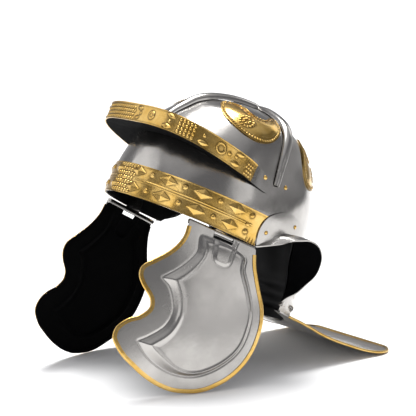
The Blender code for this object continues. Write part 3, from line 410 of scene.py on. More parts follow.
def napeRim(turn):
    height = np.full(np.shape(turn), -52.0)
    for _ in range(4):
        height = neckHeight(bowlPoint(turn, height)[..., 1]) + 2 * sheets["gap"]
    return height


earPlaces = np.linspace(0, len(earRows) - 1, 97)
earCurve = rowCurve(earRows, earPlaces)
archTurns = np.maximum.accumulate(earCurve[:, 2])
archHeights = earCurve[:, 3]


def rimHeight(turn):
    # level in front, up over the ear, down to the neck guard behind it
    arch = np.interp(turn, archTurns, archHeights)
    rim = np.where(turn <= archTurns[0], 0.0, arch)
    return np.where(turn >= 38.25, napeRim(turn), rim)


bowlLook = {"rib": 1.8, "ribPitch": 12.0, "ribs": 3, "ribStart": 9.0, "ripple": 0.16}


def ripple(points):
    # slow waves left by the hammer and the spinning, a few directions added up
    p = points / 10
    wave = np.sin(1.7 * p[..., 0] + 0.6 * p[..., 1]) * np.sin(1.3 * p[..., 2] + 0.4 * p[..., 0])
    wave += 0.7 * np.sin(0.9 * p[..., 1] - 1.1 * p[..., 2] + 1.3)
    wave += 0.5 * np.sin(1.9 * p[..., 1] + 0.8 * p[..., 0] - 0.7 * p[..., 2])
    return wave * bowlLook["ripple"]


def makeBowl():
    # columns of turn, each from rim to crown outside and back down inside
    half = np.concatenate((np.linspace(-90, 9.4, 70), archTurns[:-1:2], [38.25],
                           np.linspace(38.6, 90, 42)))
    half = np.unique(np.round(half, 3))
    turns = np.concatenate((half, half[-2:0:-1]))
    sides = np.concatenate((np.ones(len(half)), -np.ones(len(half) - 2)))
    rim = rimHeight(turns)
    shoulder = np.maximum(rim + 10, 14)
    t = np.linspace(0, 1, 40)[None, :]
    low = rim[:, None] + (shoulder - rim)[:, None] * t
    above = low - rim[:, None] - bowlLook["ribStart"]
    inRibs = (above > 0) & (above < bowlLook["ribs"] * bowlLook["ribPitch"])
    wave = 0.5 - 0.5 * np.cos(2 * np.pi * above / bowlLook["ribPitch"])
    fade = smoothStep(46, 53, turns)[:, None]
    lift = np.where(inRibs, wave, 0) * bowlLook["rib"] * fade
    place = placeAt(low)
    start = place[:, -1:]
    up = start + (topPlace - start) * np.linspace(0, 1, 61)[None, 1:] ** 0.93
    place = np.concatenate((place, up), axis=1)
    lift = np.concatenate((lift, np.zeros_like(up)), axis=1)
    turnGrid = np.broadcast_to(turns[:, None], place.shape)
    base, normal = onBowl(turnGrid, place), bowlNormal(turnGrid, place)
    fadeTop = smoothStep(topPlace, topPlace - 1.5, place)
    outer = base + normal * (lift + ripple(base) * fadeTop)[..., None]
    inner = (base + normal * (lift - sheets["steel"])[..., None])[:, ::-1]
    grid = np.concatenate((outer, inner), axis=1)
    grid[..., 0] *= sides[:, None]
    rows = outer.shape[1]
    finishRows = [0] * rows + [1] * rows
    piece = gridMesh("bowl", grid, wrapAlong=True, wrapAround=True, skip=(rows - 1,),
                     finish=(steel, satinBlack), finishRows=finishRows, sharp=50)
    return seat(piece, "helmet", "polished_steel", "skull_bowl")


makeBowl()
print("bowl made")


# relief tools: each gives a height over (s, v), millimetres along and up the strip

def dome(s, v, at, up, radius, height):
    d = ((s - at) ** 2 + (v - up) ** 2) / radius ** 2
    return height * np.sqrt(np.clip(1 - d, 0, 1))


def lozenge(s, v, at, up, long, tall, height):
    # a four-sided diamond point on a low step
    d = np.abs(s - at) / long + np.abs(v - up) / tall
    return height * (0.25 * smoothStep(1.0, 0.86, d) + 0.75 * np.clip(1 - d / 0.84, 0, 1))


def leaf(s, v, at, up, long, tall, height, lean=0.0):
    # a pointed oval, domed, with a sharp edge
    c, k = math.cos(math.radians(lean)), math.sin(math.radians(lean))
    x, y = (s - at) * c + (v - up) * k, -(s - at) * k + (v - up) * c
    d = np.clip(np.abs(x) / long, 0, 1) ** 1.8 + np.abs(y) / tall
    return height * np.sqrt(np.clip(1 - d, 0, 1))


def ring(s, v, at, up, radius, width, height):
    d = np.sqrt((s - at) ** 2 + (v - up) ** 2)
    return height * np.exp(-((d - radius) / width) ** 2)


def disc(s, v, at, up, radius, height):
    d = np.sqrt((s - at) ** 2 + (v - up) ** 2)
    return height * smoothStep(radius, radius - 1.1, d)


def beads(s, v, low, high, bottom, top, pitch, radius, height, stagger=0.5):
    # a field of granules, every other row shifted
    count = int((top - bottom) / pitch) + 1
    row = np.clip(np.round((v - bottom) / pitch), 0, count - 1)
    shift = (row % 2) * stagger * pitch
    at = np.round((s - low - shift) / pitch) * pitch + low + shift
    inside = (at > low - 0.1) & (at < high + 0.1)
    return np.where(inside, dome(s, v, at, bottom + row * pitch, radius, height), 0)


def insideDistance(along, down, line):
    # signed distance to a closed line, positive inside: nearest segment, crossings counted
    shape = along.shape
    p = np.stack((along.ravel(), down.ravel()), axis=1)
    a, b = line, np.roll(line, -1, axis=0)
    best = np.full(len(p), 1e9)
    inside = np.zeros(len(p), bool)
    for (ax, ay), (bx, by) in zip(a, b):
        d = np.array([bx - ax, by - ay])
        rel = p - [ax, ay]
        t = np.clip(rel @ d / max(d @ d, 1e-9), 0, 1)
        best = np.minimum(best, np.hypot(*(rel - t[:, None] * d).T))
        crosses = (ay > p[:, 1]) != (by > p[:, 1])
        x = ax + (p[:, 1] - ay) / (by - ay if by != ay else 1e-9) * (bx - ax)
        inside ^= crosses & (p[:, 0] < x)
    return (best * np.where(inside, 1, -1)).reshape(shape)


def hollowMask(relief, height):
    # 1 beside raised ornament where polish does not reach, 0 on crests and open field
    wide = relief
    for _ in range(7):
        wide = (np.roll(wide, 1, 0) + np.roll(wide, -1, 0) + 2 * wide) / 4
        wide = (np.roll(wide, 1, 1) + np.roll(wide, -1, 1) + 2 * wide) / 4
    return np.clip((wide - relief) / (0.13 * height), 0, 1)


# brow band

browLook = {
    "height": 36.5, "pitch": 22.5, "firstTurn": -79.0, "rows": (9.8, 29.0),
    "long": 11.6, "tall": 6.4, "relief": 2.3, "domeRadius": 2.8, "domeHeight": 1.8,
    "ridge": 0.5, "ridgeHalfGap": 1.2, "ridgeWidth": 0.5, "middle": 18.6,
}


def browRelief(s, v):
    # two rows of diamond points and domes, a double ridge between, beads in front, pleats behind
    look = browLook
    turns, arc = arcTable(18)
    relief = np.zeros_like(s)
    for k in range(8):
        at = np.interp(look["firstTurn"] + k * look["pitch"] / 2, turns, arc)
        for up in look["rows"]:
            if k % 2 == 0:
                relief += lozenge(s, v, at, up, look["long"], look["tall"], look["relief"])
            else:
                relief += dome(s, v, at, up, look["domeRadius"], look["domeHeight"])
                relief += ring(s, v, at, up, look["domeRadius"] + 0.3, 0.5, 0.15)
    for side in (-1, 1):
        off = v - look["middle"] - side * look["ridgeHalfGap"]
        line = np.exp(-(off / look["ridgeWidth"]) ** 2)
        relief += look["ridge"] * line * smoothStep(15, 20, s) * smoothStep(174, 169, s)
    cluster = beads(s, v, 0.0, 15.1, 3.6, 34.0, 5.0, 2.1, 1.5)
    relief = np.where(relief > 0.04, relief, cluster * smoothStep(18.5, 17.5, s))
    rim = smoothStep(1.3, 0.5, v) + smoothStep(look["height"] - 1.6, look["height"] - 0.6, v)
    relief += 0.35 * rim
    pleat = np.sin((s - 168) * 1.35) * smoothStep(168, 174, s) * smoothStep(9, 2, v)
    relief += 0.5 * pleat * smoothStep(193, 190, s)
    return relief


def makeBrowBand():
    # the bowl's surface moved out by gap, sheet and relief over (turn, height), its ends cut to
    # the ear guard's plate line
    look = browLook
    share = np.linspace(-1, 1, 641)
    v = np.linspace(0, look["height"], 58)
    a, v = np.meshgrid(share, v, indexing="ij")
    reach = np.abs(a)
    end = np.interp(v, earCurve[:40, 1], earCurve[:40, 0]) - 0.9
    plain = -90 + 96.0 * reach
    turn = plain + (end - 6.0) * smoothStep(0.86, 1.0, reach)
    turns, arc = arcTable(18)
    s = np.interp(turn, turns, arc)
    relief = browRelief(s, v)
    wavy = 0.12 * np.sin(s / 9.0) * np.sin(v / 6.0 + 1)
    face = bowlPoint(turn, v, sheets["gap"] + sheets["brass"] + relief + wavy)
    backV = np.linspace(look["height"], 0, 6)
    aBack, backV = np.meshgrid(share, backV, indexing="ij")
    endBack = np.interp(backV, earCurve[:40, 1], earCurve[:40, 0]) - 0.9
    turnBack = -90 + 96.0 * np.abs(aBack)
    turnBack += (endBack - 6.0) * smoothStep(0.86, 1.0, np.abs(aBack))
    back = bowlPoint(turnBack, backV, sheets["gap"])
    sign = np.where(share < 0, -1, 1)[:, None]
    grid = np.concatenate((face, back), axis=1)
    grid[..., 0] *= sign
    hollow = np.concatenate((hollowMask(relief, 1.6), np.zeros(backV.shape)), axis=1)
    piece = gridMesh("brow_band_relief", grid, wrapAround=True, caps=True, finish=(brass,),
                     layers={"hollow": hollow}, sharp=60, weld=False)
    return seat(piece, "helmet", "polished_brass", "brow_band")


makeBrowBand()
print("brow band made")


# peak and its brass strip

peakLook = {
    "halfWidth": 109.2, "reach": 130.0, "fullness": 3.12, "blendStart": 1.0, "blend": 19.0,
    "height": 59.7, "rise": 0.151, "lip": 21.0, "wall": 1.2, "tabTurn": 6.0, "stripEnd": 10.0,
}


def peakPlan(turn, level, inset=0.0):
    # a full oval in front, easing onto the bowl towards the tabs
    look = peakLook
    c, s = np.cos(np.radians(turn)), np.sin(np.radians(turn))
    n = look["fullness"]
    oval = (np.abs(c / look["halfWidth"]) ** n + np.abs(s / look["reach"]) ** n) ** (-1 / n)
    seatPoint = bowlPoint(turn, look["height"] + look["lip"] * level,
                          2 * sheets["gap"] + look["wall"])
    away = np.hypot(seatPoint[..., 0], seatPoint[..., 1])
    share = smoothStep(look["blendStart"], look["blendStart"] + look["blend"], -turn)
    x = seatPoint[..., 0] / away * (1 - share) + c * share
    y = seatPoint[..., 1] / away * (1 - share) + s * share
    length = np.hypot(x, y)
    radius = away + (oval - away) * share - inset
    return x / length * radius, y / length * radius


def peakHeight(back):
    return peakLook["height"] - peakLook["rise"] * back


def lipPoint(turn, level, inset=0.0):
    base = peakPlan(turn, np.zeros_like(turn))
    x, y = peakPlan(turn, level, inset)
    return np.stack((x, y, peakHeight(base[1]) + peakLook["lip"] * level), axis=-1)


def makePeak():
    # an L section carried round the brow: the lip up its outer face and down its inner one, then
    # the flat inwards to the bowl and back underneath
    look = peakLook
    half = np.concatenate((np.linspace(-90, -30, 61), np.linspace(-29, -2, 46),
                           np.linspace(-1.5, look["tabTurn"], 31)))
    tip = np.clip((look["tabTurn"] - half) / 5.5, 0, 1)
    shrink = 0.5 * (1 - np.sqrt(tip * (2 - tip)))
    low, high = shrink * 0.9, 1 - shrink * 0.9
    t = half[:, None]
    levels = np.linspace(0, 1, 9)[None, :]
    up = low[:, None] + (high - low)[:, None] * levels
    outer = lipPoint(t + 0 * up, up)
    inner = lipPoint(t + 0 * up, up[:, ::-1], look["wall"])
    corner = inner[:, -1]
    base = bowlPoint(half, corner[:, 2], -0.5)
    away = np.linalg.norm(corner - base, axis=1)
    flat = unit(corner * np.array([1, 1, 0]))
    near = ((half > -6) | (away < 1.5))[:, None]
    root = np.where(near, corner - flat * 0.02, base * [1, 1, 0] + corner * [0, 0, 1])
    rise = np.array([0, 0, look["wall"]])
    run = np.linspace(0, 1, 6)[None, 1:, None]
    top = (corner + rise)[:, None] * (1 - run) + (root + rise)[:, None] * run
    under = root[:, None] * (1 - run[:, :-1]) + corner[:, None] * run[:, :-1]
    inner = inner[:, :-1]
    grid = np.concatenate((outer, inner, (corner + rise)[:, None], top, root[:, None], under),
                          axis=1)
    mirror = grid[:0:-1] * np.array([-1, 1, 1])
    grid = np.concatenate((mirror, grid), axis=0)
    m, firstBlack = grid.shape[1], 23
    finishRows = [0] * firstBlack + [1] * (m - firstBlack)
    piece = gridMesh("peak_bar", grid, wrapAround=True, caps=True, finish=(steel, black),
                     finishRows=finishRows, sharp=35)
    return seat(piece, "helmet", "polished_steel", "peak")


def stripRelief(s, v):
    # motifs placed along the lip, s from the helmet's middle towards the wearer's left
    relief = np.zeros_like(s)
    for side in (1, -1):
        r = s if side == 1 else -70 - s
        part = leaf(r, v, 11, 16.6, 5.6, 2.4, 1.3, -8)
        part += leaf(r, v, 10, 4.9, 4.6, 2.1, 1.1, 5)
        part += dome(r, v, 14, 10.4, 1.9, 1.0)
        part += disc(r, v, 35, 11, 5.4, 1.0) - 0.4 * disc(r, v, 35, 11, 3.4, 1.0)
        part += leaf(r, v, 63.5, 17.0, 6.6, 2.5, 1.3, -10)
        part += leaf(r, v, 62, 4.4, 6.8, 2.8, 1.4, 4)
        part += dome(r, v, 63.5, 10.4, 1.8, 1.1)
        part += beads(r, v, 77, 99, 3.4, 18.2, 4.6, 1.7, 1.2, 0.0)
        part += leaf(r, v, 109, 5.2, 6.8, 2.9, 1.5, 6)
        part += dome(r, v, 108, 13.2, 1.9, 1.2)
        part += ring(r, v, 131, 11.2, 5.3, 0.85, 1.0)
        part += dome(r, v, 142.5, 11.2, 2.0, 1.2)
        part += dome(r, v, 152, 12.6, 1.8, 1.1)
        part += leaf(r, v, 156.5, 17.2, 6.2, 2.5, 1.4, 12)
        part += leaf(r, v, 153.5, 4.8, 6.4, 2.8, 1.5, 10)
        part += beads(r, v, 169, 179, 2.9, 18.4, 3.9, 1.6, 1.15)
        relief += part if side == 1 else part * smoothStep(-60, -61, s)
    relief += beads(s, v, -60, 2, 2.9, 18.3, 4.4, 1.75, 1.25)
    rim = smoothStep(1.2, 0.4, v) + smoothStep(peakLook["lip"] - 1.3, peakLook["lip"] - 0.5, v)
    return relief + 0.3 * rim


def makeStrip():
    # the lip's outer face moved out by gap, sheet and relief over (length along, height up)
    look = peakLook
    fine = np.linspace(-90, -look["stripEnd"], 700)
    line = lipPoint(fine, np.full_like(fine, 0.5))
    arc = np.concatenate(([0], np.cumsum(np.linalg.norm(np.diff(line, axis=0), axis=1))))
    share = np.linspace(-1, 1, 741)
    v = np.linspace(0, look["lip"], 40)
    a, v = np.meshgrid(share, v, indexing="ij")
    lean = -2.4 * (1 - v / look["lip"]) * smoothStep(0.9, 1.0, np.abs(a))
    s = np.abs(a) * (arc[-1] + lean)
    turn = np.interp(s, arc, fine)
    relief = stripRelief(s * np.sign(a), v)
    level = v / look["lip"]
    face = lipPoint(turn, level, -sheets["gap"] - sheets["brass"] - relief)
    backV = np.linspace(look["lip"], 0, 5)
    aBack, backV = np.meshgrid(share, backV, indexing="ij")
    leanBack = -2.4 * (1 - backV / look["lip"]) * smoothStep(0.9, 1.0, np.abs(aBack))
    turnBack = np.interp(np.abs(aBack) * (arc[-1] + leanBack), arc, fine)
    back = lipPoint(turnBack, backV / look["lip"], -sheets["gap"])
    grid = np.concatenate((face, back), axis=1)
    grid[..., 0] *= np.where(share < 0, -1, 1)[:, None]
    hollow = np.concatenate((hollowMask(relief, 1.1), np.zeros(backV.shape)), axis=1)
    piece = gridMesh("peak_strip_relief", grid, wrapAround=True, caps=True, finish=(brass,),
                     layers={"hollow": hollow}, sharp=60, weld=False)
    return seat(piece, "helmet", "polished_brass", "peak_strip")


makePeak()
makeStrip()
print("peak made")


# crown braces

braceLook = {
    "width": 15.0, "endWidth": 8.0, "rise": 7.0, "endRise": 3.6, "wall": 1.2, "float": 0.7,
    "crossing": 27.0, "leanForward": 8.0, "sideHeight": 72.0, "frontHeight": 88.0,
    "rearHeight": 74.0,
}


def braceSection(points, normals, fade):
    # a rounded ridge, hollow below: an arch of given width and rise carried along the path
    look = braceLook
    along = unit(np.gradient(points, axis=0))
    side = unit(np.cross(along, normals))
    width = look["width"] + (look["endWidth"] - look["width"]) * fade
    rise = look["rise"] + (look["endRise"] - look["rise"]) * fade
    angle = np.linspace(0, np.pi, 17)
    rings = []
    for inset, order in ((0.0, 1), (look["wall"], -1)):
        across = np.cos(angle)[None, :] * (width / 2 - inset)[:, None]
        up = look["float"] + np.sin(angle)[None, :] ** 0.86 * (rise - inset)[:, None]
        ringPoints = (points[:, None] + side[:, None] * across[..., None]
                      + normals[:, None] * up[..., None])
        rings.append(ringPoints[:, ::order])
    return np.concatenate(rings, axis=1)


def makeBrace():
    # two ridges carried over the bowl: one along its middle line from front to rear, one across
    # it whose line climbs as a cosine from each side to the crossing
    look = braceLook
    t = np.linspace(0, 1, 121)
    end = np.abs(t - 0.5) * 2
    low = np.where(t < 0.5, look["frontHeight"], look["rearHeight"])
    start = placeAt(low)
    place = start + (topPlace - start) * (1 - end)
    turn = np.where(t < 0.5, -90.0, 90.0)
    points, normals = onBowl(turn, place), bowlNormal(turn, place)
    points[..., 0] = 0
    normals[..., 0] = 0
    middle = len(t) // 2
    points[middle] = [0, crownBack, crownHeight]
    normals[middle] = [0, 0, 1]
    for _ in range(3):
        normals[1:-1] = unit(normals[:-2] + normals[1:-1] * 2 + normals[2:])
    fade = np.clip((end - 0.45) / 0.55, 0, 1)
    long = gridMesh("brace_long", braceSection(points, unit(normals), fade), wrapAround=True,
                    caps=True, finish=(steel, black), finishRows=[0] * 17 + [1] * 17, sharp=45)
    crown = bowlCrownAt(look["crossing"])
    t = np.linspace(-1, 1, 121)
    reach = np.abs(t)
    back = look["crossing"] - look["leanForward"] * reach
    drop = np.maximum(np.cos(reach * np.pi / 2), 0) ** 0.9
    crowns = bowlCrownAt(back)
    height = np.minimum(look["sideHeight"] + (crowns - look["sideHeight"]) * drop, crowns - 0.05)
    turn = turnAtBack(back, height)
    place = placeAt(height)
    points, normals = onBowl(turn, place), bowlNormal(turn, place)
    sign = np.sign(t)[:, None]
    points[:, :1] *= sign
    normals[:, :1] *= sign
    points[middle] = [0, look["crossing"], crown]
    normals[middle, 0] = 0
    for _ in range(3):
        normals[1:-1] = unit(normals[:-2] + normals[1:-1] * 2 + normals[2:])
    fade = np.clip((reach - 0.45) / 0.55, 0, 1)
    side = gridMesh("brace_side", braceSection(points, unit(normals), fade), wrapAround=True,
                    caps=True, finish=(steel, black), finishRows=[0] * 17 + [1] * 17, sharp=45)
    piece = joinMeshes("crown_brace_cross", [long, side])
    return seat(piece, "helmet", "polished_steel", "crown_brace")


def bowlCrownAt(back):
    # height of the bowl's middle line at a distance back: the front line, then the rear one
    places = np.linspace(8, topPlace, 1500)
    heights = []
    for side in (-90.0, 90.0):
        line = onBowl(np.full_like(places, side), places)
        order = np.argsort(line[:, 1])
        heights.append(np.interp(back, line[order, 1], line[order, 2]))
    return np.where(np.asarray(back) > crownBack, heights[1], heights[0])


makeBrace()
print("crown brace made")


# crown plaques

plaqueLook = {
    "seat": 0.5, "swell": 0.7, "bead": 1.3, "beadPitch": 4.2, "beadRadius": 1.3,
    "border": 2.9, "rays": ((3.8, 7), (8.2, 14)), "rayRadius": 1.3, "rayHeight": 1.2,
    "middle": (6.0, 4.0), "sun": (-10.2, 0.0),
    # turn, height and which way the pattern runs
    "places": {"front": (-24.0, 0.809 * crownHeight, 1), "rear": (50.0, 0.695 * crownHeight, -1)},
    # along and down the bowl, millimetres
    "outline": [
        (-47.5, -31.6), (-48.5, -44.0), (-43.0, -52.0), (-31.5, -48.0), (-16.4, -36.5),
        (-7.6, -22.5), (2.5, -16.0), (11.5, -20.0), (16.0, -32.5), (20.0, -41.5),
        (25.0, -42.5), (29.8, -34.5), (33.2, -20.5), (33.2, -4.0), (26.5, 11.5), (13.0, 19.3),
        (-3.0, 19.8), (-18.5, 14.2), (-33.0, 3.4), (-43.1, -10.5),
    ],
}


def nearestOnBowl(target, turn, height):
    # slides every point over the bowl by Newton steps until it lies under its target
    turn = np.full(target.shape[:-1], float(turn))
    place = np.full(target.shape[:-1], float(placeAt(height)))
    for _ in range(14):
        here = onBowl(turn, place)
        dT = (onBowl(turn + 0.5, place) - here) / 0.5
        dP = (onBowl(turn, np.minimum(place + 0.02, topPlace)) - here) / 0.02
        miss = target - here
        tt, pp = (dT * dT).sum(-1), (dP * dP).sum(-1)
        tp = (dT * dP).sum(-1)
        mt, mp = (miss * dT).sum(-1), (miss * dP).sum(-1)
        det = np.maximum(tt * pp - tp * tp, 1e-9)
        turn = turn + np.clip((mt * pp - mp * tp) / det, -15, 15)
        place = np.clip(place + np.clip((mp * tt - mt * tp) / det, -1, 1), 1, topPlace - 0.02)
    return turn, place


def makePlaque(where, side):
    # rings shrinking from the outline to the middle, laid on the bowl point by point
    look = plaqueLook
    turn, height, way = look["places"][where]
    place = placeAt(height)
    centre = onBowl(np.array(turn), place)
    normal = bowlNormal(np.array(turn), place)
    level = onBowl(np.array(turn + 1), place) - onBowl(np.array(turn - 1), place)
    level = unit(level - normal * (level @ normal))
    below = np.cross(normal, level)
    below = below * (-1 if below[2] > 0 else 1)
    corners = np.array(look["outline"])
    count = 400
    closed = np.vstack((corners[-1:], corners, corners[:2]))
    edge = rowCurve(closed, 1 + np.arange(count) / count * len(corners))
    middle, sun = np.array(look["middle"]), np.array(look["sun"])
    shares = np.concatenate((np.linspace(0, 0.72, 30), np.linspace(0.735, 1, 24)))
    flat = middle + (edge[None] - middle) * shares[:, None, None]
    step = np.linalg.norm(np.diff(np.vstack((edge, edge[:1])), axis=0), axis=1)
    arc = np.concatenate(([0], np.cumsum(step)))
    inward = np.maximum(insideDistance(flat[..., 0], flat[..., 1], edge[::2]), 0)
    beadsRound = round(arc[-1] / look["beadPitch"])
    phase = (arc[:-1] / arc[-1] * beadsRound)[None, :]
    along = (phase - np.round(phase)) * look["beadPitch"]
    off = (along ** 2 + (inward - look["border"]) ** 2) / look["beadRadius"] ** 2
    beadRow = np.sqrt(np.clip(1 - off, 0, 1))
    swell = look["swell"] * smoothStep(4.4, 13, inward)
    radius = np.linalg.norm(flat - sun, axis=-1)
    angle = np.arctan2(flat[..., 1] - sun[1], flat[..., 0] - sun[0])
    rays = np.zeros_like(radius)
    for r, n in look["rays"]:
        near = np.round(angle / (2 * np.pi) * n) * 2 * np.pi / n
        d = (radius * np.cos(angle) - r * np.cos(near)) ** 2
        d += (radius * np.sin(angle) - r * np.sin(near)) ** 2
        rays = np.maximum(rays, np.sqrt(np.clip(1 - d / look["rayRadius"] ** 2, 0, 1)))
    relief = swell + look["bead"] * beadRow + look["rayHeight"] * rays
    target = centre + level * way * flat[..., :1] + below * flat[..., 1:]
    t, p = nearestOnBowl(target, turn, height)
    base, up = onBowl(t, p), bowlNormal(t, p)
    face = base + up * (look["seat"] + sheets["brass"] + relief)[..., None]
    pick = [53, 40, 30, 15, 0]
    back = base[pick] + up[pick] * look["seat"]
    grid = np.concatenate((face, back), axis=0)
    grid[..., 0] *= side
    besideBeads = smoothStep(2.6, 1.7, np.abs(inward - look["border"]))
    besideBeads *= smoothStep(0.8, 0.3, beadRow)
    besideRays = 0.8 * smoothStep(11.0, 9.8, radius) * smoothStep(0.8, 0.3, rays)
    dark = np.maximum(hollowMask(relief, 0.7), np.maximum(besideBeads, besideRays))
    hollow = np.concatenate((dark, np.zeros((5, count))), axis=0)
    word = "left" if side > 0 else "right"
    piece = gridMesh(f"plaque_{where}_{word}", grid.transpose(1, 0, 2), wrapAlong=True,
                     finish=(brass,), layers={"hollow": hollow.T}, sharp=60)
    return seat(piece, "helmet", "polished_brass", f"crown_plaque_{where}_{word}")


for where in plaqueLook["places"]:
    for side in (1, -1):
        makePlaque(where, side)
print("plaques made")


# ear guards

def makeEarGuard(side):
    # across: up the plate, round the fold and out along the flange; along: round the ear
    rows = earCurve
    root = bowlPoint(rows[:, 2], rows[:, 3], 3 * sheets["gap"])
    flare = rows[:, 4:7]
    outward = bowlNormal(rows[:, 2], placeAt(rows[:, 3]))
    plate = []
    for share in np.linspace(0, 0.9, 7):
        turn = rows[:, 0] + (rows[:, 2] - rows[:, 0]) * share
        height = rows[:, 1] + (rows[:, 3] - rows[:, 1]) * share
        plate.append(bowlPoint(turn, height, sheets["gap"] * (1 + 2 * share)))
    plate = np.stack(plate, axis=1)
    out = np.linspace(0.0, 1, 13)[1:]
    curl = np.sin(out * np.pi)[None, :, None] * 0.04 * np.linalg.norm(
        flare, axis=1)[:, None, None] * np.array([0, 0, 1.0])
    flange = root[:, None] + flare[:, None] * out[None, :, None] + curl
    bend = (plate[:, -1] + root * 2 + flange[:, 0]) / 4
    face = np.concatenate((plate, bend[:, None], flange), axis=1)
    along, across = np.gradient(face, axis=0), np.gradient(face, axis=1)
    normal = unit(np.cross(along, across))
    flip = np.sign((normal[:, 0] * outward).sum())
    normal = normal * flip
    for _ in range(2):
        normal[:, 1:-1] = unit(normal[:, :-2] + normal[:, 1:-1] + normal[:, 2:])
    outer = face + normal * sheets["steel"]
    grid = np.concatenate((outer, face[:, ::-1]), axis=1)
    grid[..., 0] *= side
    m = face.shape[1]
    word = "left" if side > 0 else "right"
    finishRows = [0] * m + [1] * m
    finishRows[-1] = 0
    piece = gridMesh(f"ear_flange_{word}", grid, wrapAround=True, caps=True,
                     finish=(steel, black), finishRows=finishRows, sharp=50)
    return seat(piece, "helmet", "polished_steel", f"ear_guard_{word}")


makeEarGuard(1)
makeEarGuard(-1)
print("ear guards made")


# neck guard

neckLook = {"halfWidth": 92.0, "reach": 286.0, "corner": 30.0, "lap": 5.5, "edging": 2.2}


def neckOutline(count):
    # straight side, round corner and straight rear edge of one half, evenly spaced
    look = neckLook
    startY = bowlPoint(38.3, napeRim(np.array(38.3)))[..., :2]
    sideEnd = look["reach"] - look["corner"]
    first = np.array([startY[0] + 3, startY[1]])
    angle = np.linspace(0, np.pi / 2, 24)
    corner = np.stack((look["halfWidth"] - look["corner"] + look["corner"] * np.cos(angle),
                       sideEnd + look["corner"] * np.sin(angle)), axis=1)
    sideY = np.linspace(first[1], sideEnd, 40)[:-1]
    ease = smoothStep(0, 30, sideY - first[1])
    sidePart = np.stack((first[0] + (look["halfWidth"] - first[0]) * ease, sideY), axis=1)
    rear = np.stack((np.linspace(look["halfWidth"] - look["corner"], 0, 20)[1:],
                     np.full(19, look["reach"])), axis=1)
    line = np.vstack((sidePart, corner, rear))
    arc = np.concatenate(([0], np.cumsum(np.linalg.norm(np.diff(line, axis=0), axis=1))))
    even = np.linspace(0, arc[-1], count)
    return np.stack((np.interp(even, arc, line[:, 0]), np.interp(even, arc, line[:, 1])), axis=1)


def makeNeckGuard():
    # straight lines from the nape's rim out to the outline, lifted to the height at each distance
    # back, then the same again one sheet lower
    look = neckLook
    rim = neckOutline(90)
    turn = 38.3 + (90 - 38.3) * np.linspace(0, 1, 90)
    root = bowlPoint(turn, napeRim(turn))[:, :2]
    inner = root - unit(root) * look["lap"]
    inner[-1, 0] = 0
    share = np.linspace(0, 1, 40)[None, :, None]
    flat = inner[:, None] * (1 - share) + rim[:, None] * share
    height = neckHeight(flat[..., 1])
    top = np.concatenate((flat, height[..., None]), axis=-1)
    top[..., 2] += 0.12 * np.sin(flat[..., 0] / 14) * np.sin(flat[..., 1] / 17) * share[..., 0]
    under = top - np.array([0, 0, sheets["steel"]])
    grid = np.concatenate((top, under[:, ::-1]), axis=1)
    grid = np.concatenate((grid, grid[-2::-1] * np.array([-1, 1, 1])), axis=0)
    piece = gridMesh("neck_plate", grid, wrapAround=True, caps=True, finish=(steel,), sharp=45)
    seat(piece, "helmet", "polished_steel", "neck_guard")


def channel(path, normal, inward, width, thick):
    # brass folded over a sheet's edge: a round nose outside and two flat legs inwards
    half = thick / 2 + 0.2
    outer = half + 0.6
    angle = np.linspace(np.pi / 2, 3 * np.pi / 2, 11)
    profile = [(width, outer), (width * 0.5, outer)]
    profile += [(outer * np.cos(q) * 0.9, outer * np.sin(q)) for q in angle]
    profile += [(width * 0.5, -outer), (width, -outer), (width, -half), (-0.2, -half),
                (-0.2, half), (width, half)]
    profile = np.array(profile)
    grid = (path[:, None] + inward[:, None] * profile[None, :, :1]
            + normal[:, None] * profile[None, :, 1:])
    return grid


def makeNeckEdging():
    # the folded section carried round the neck guard's outline
    look = neckLook
    half = neckOutline(120)[6:]
    line = np.vstack((half, half[-2::-1] * [-1, 1]))
    height = neckHeight(line[:, 1])
    path = np.concatenate((line, height[:, None]), axis=1)
    run = 1.6 * look["edging"]
    slope = neckHeight(line[:, 1] - run) - height
    up = unit(np.stack((0 * slope, slope, 0 * slope + run), axis=1))
    along = unit(np.gradient(path, axis=0))
    side = unit(np.cross(up, along))
    toMiddle = np.array([0, 140.0, 0]) - path * [1, 1, 0]
    side = side * np.sign((side * toMiddle).sum(axis=1, keepdims=True))
    grid = channel(path - up * sheets["steel"] / 2, up, side, look["edging"], sheets["steel"])
    hollow = np.zeros(grid.shape[:2])
    piece = gridMesh("neck_edging", grid, wrapAround=True, caps=True, finish=(brass,),
                     layers={"hollow": hollow}, sharp=45)
    seat(piece, "helmet", "polished_brass", "neck_guard_edging")


makeNeckGuard()
makeNeckEdging()
print("neck guard made")


# cheek guards

hingeLook = {
    "front": (84.9, -64.7, -4.4), "rear": (107.2, 19.4, -4.4), "splay": 3.0, "knuckle": 3.0,
    "pin": 1.2, "strapStart": 33.5, "strapWidth": 24.0, "strapLeaf": 17.0, "slotDepth": 7.0,
}
cheekLook = {
    "depth": 182.8, "width": 161.5, "bow": 7.0, "relief": 2.2, "step": 2.2, "softStep": 6.0,
    "lip": 0.8, "edging": 3.6, "edgingStart": 0.35,
    "bossAlong": 50.6, "bossDown": 33.5, "bossHalf": 12.6, "bossRound": 8.0, "bossRise": 1.3,
}

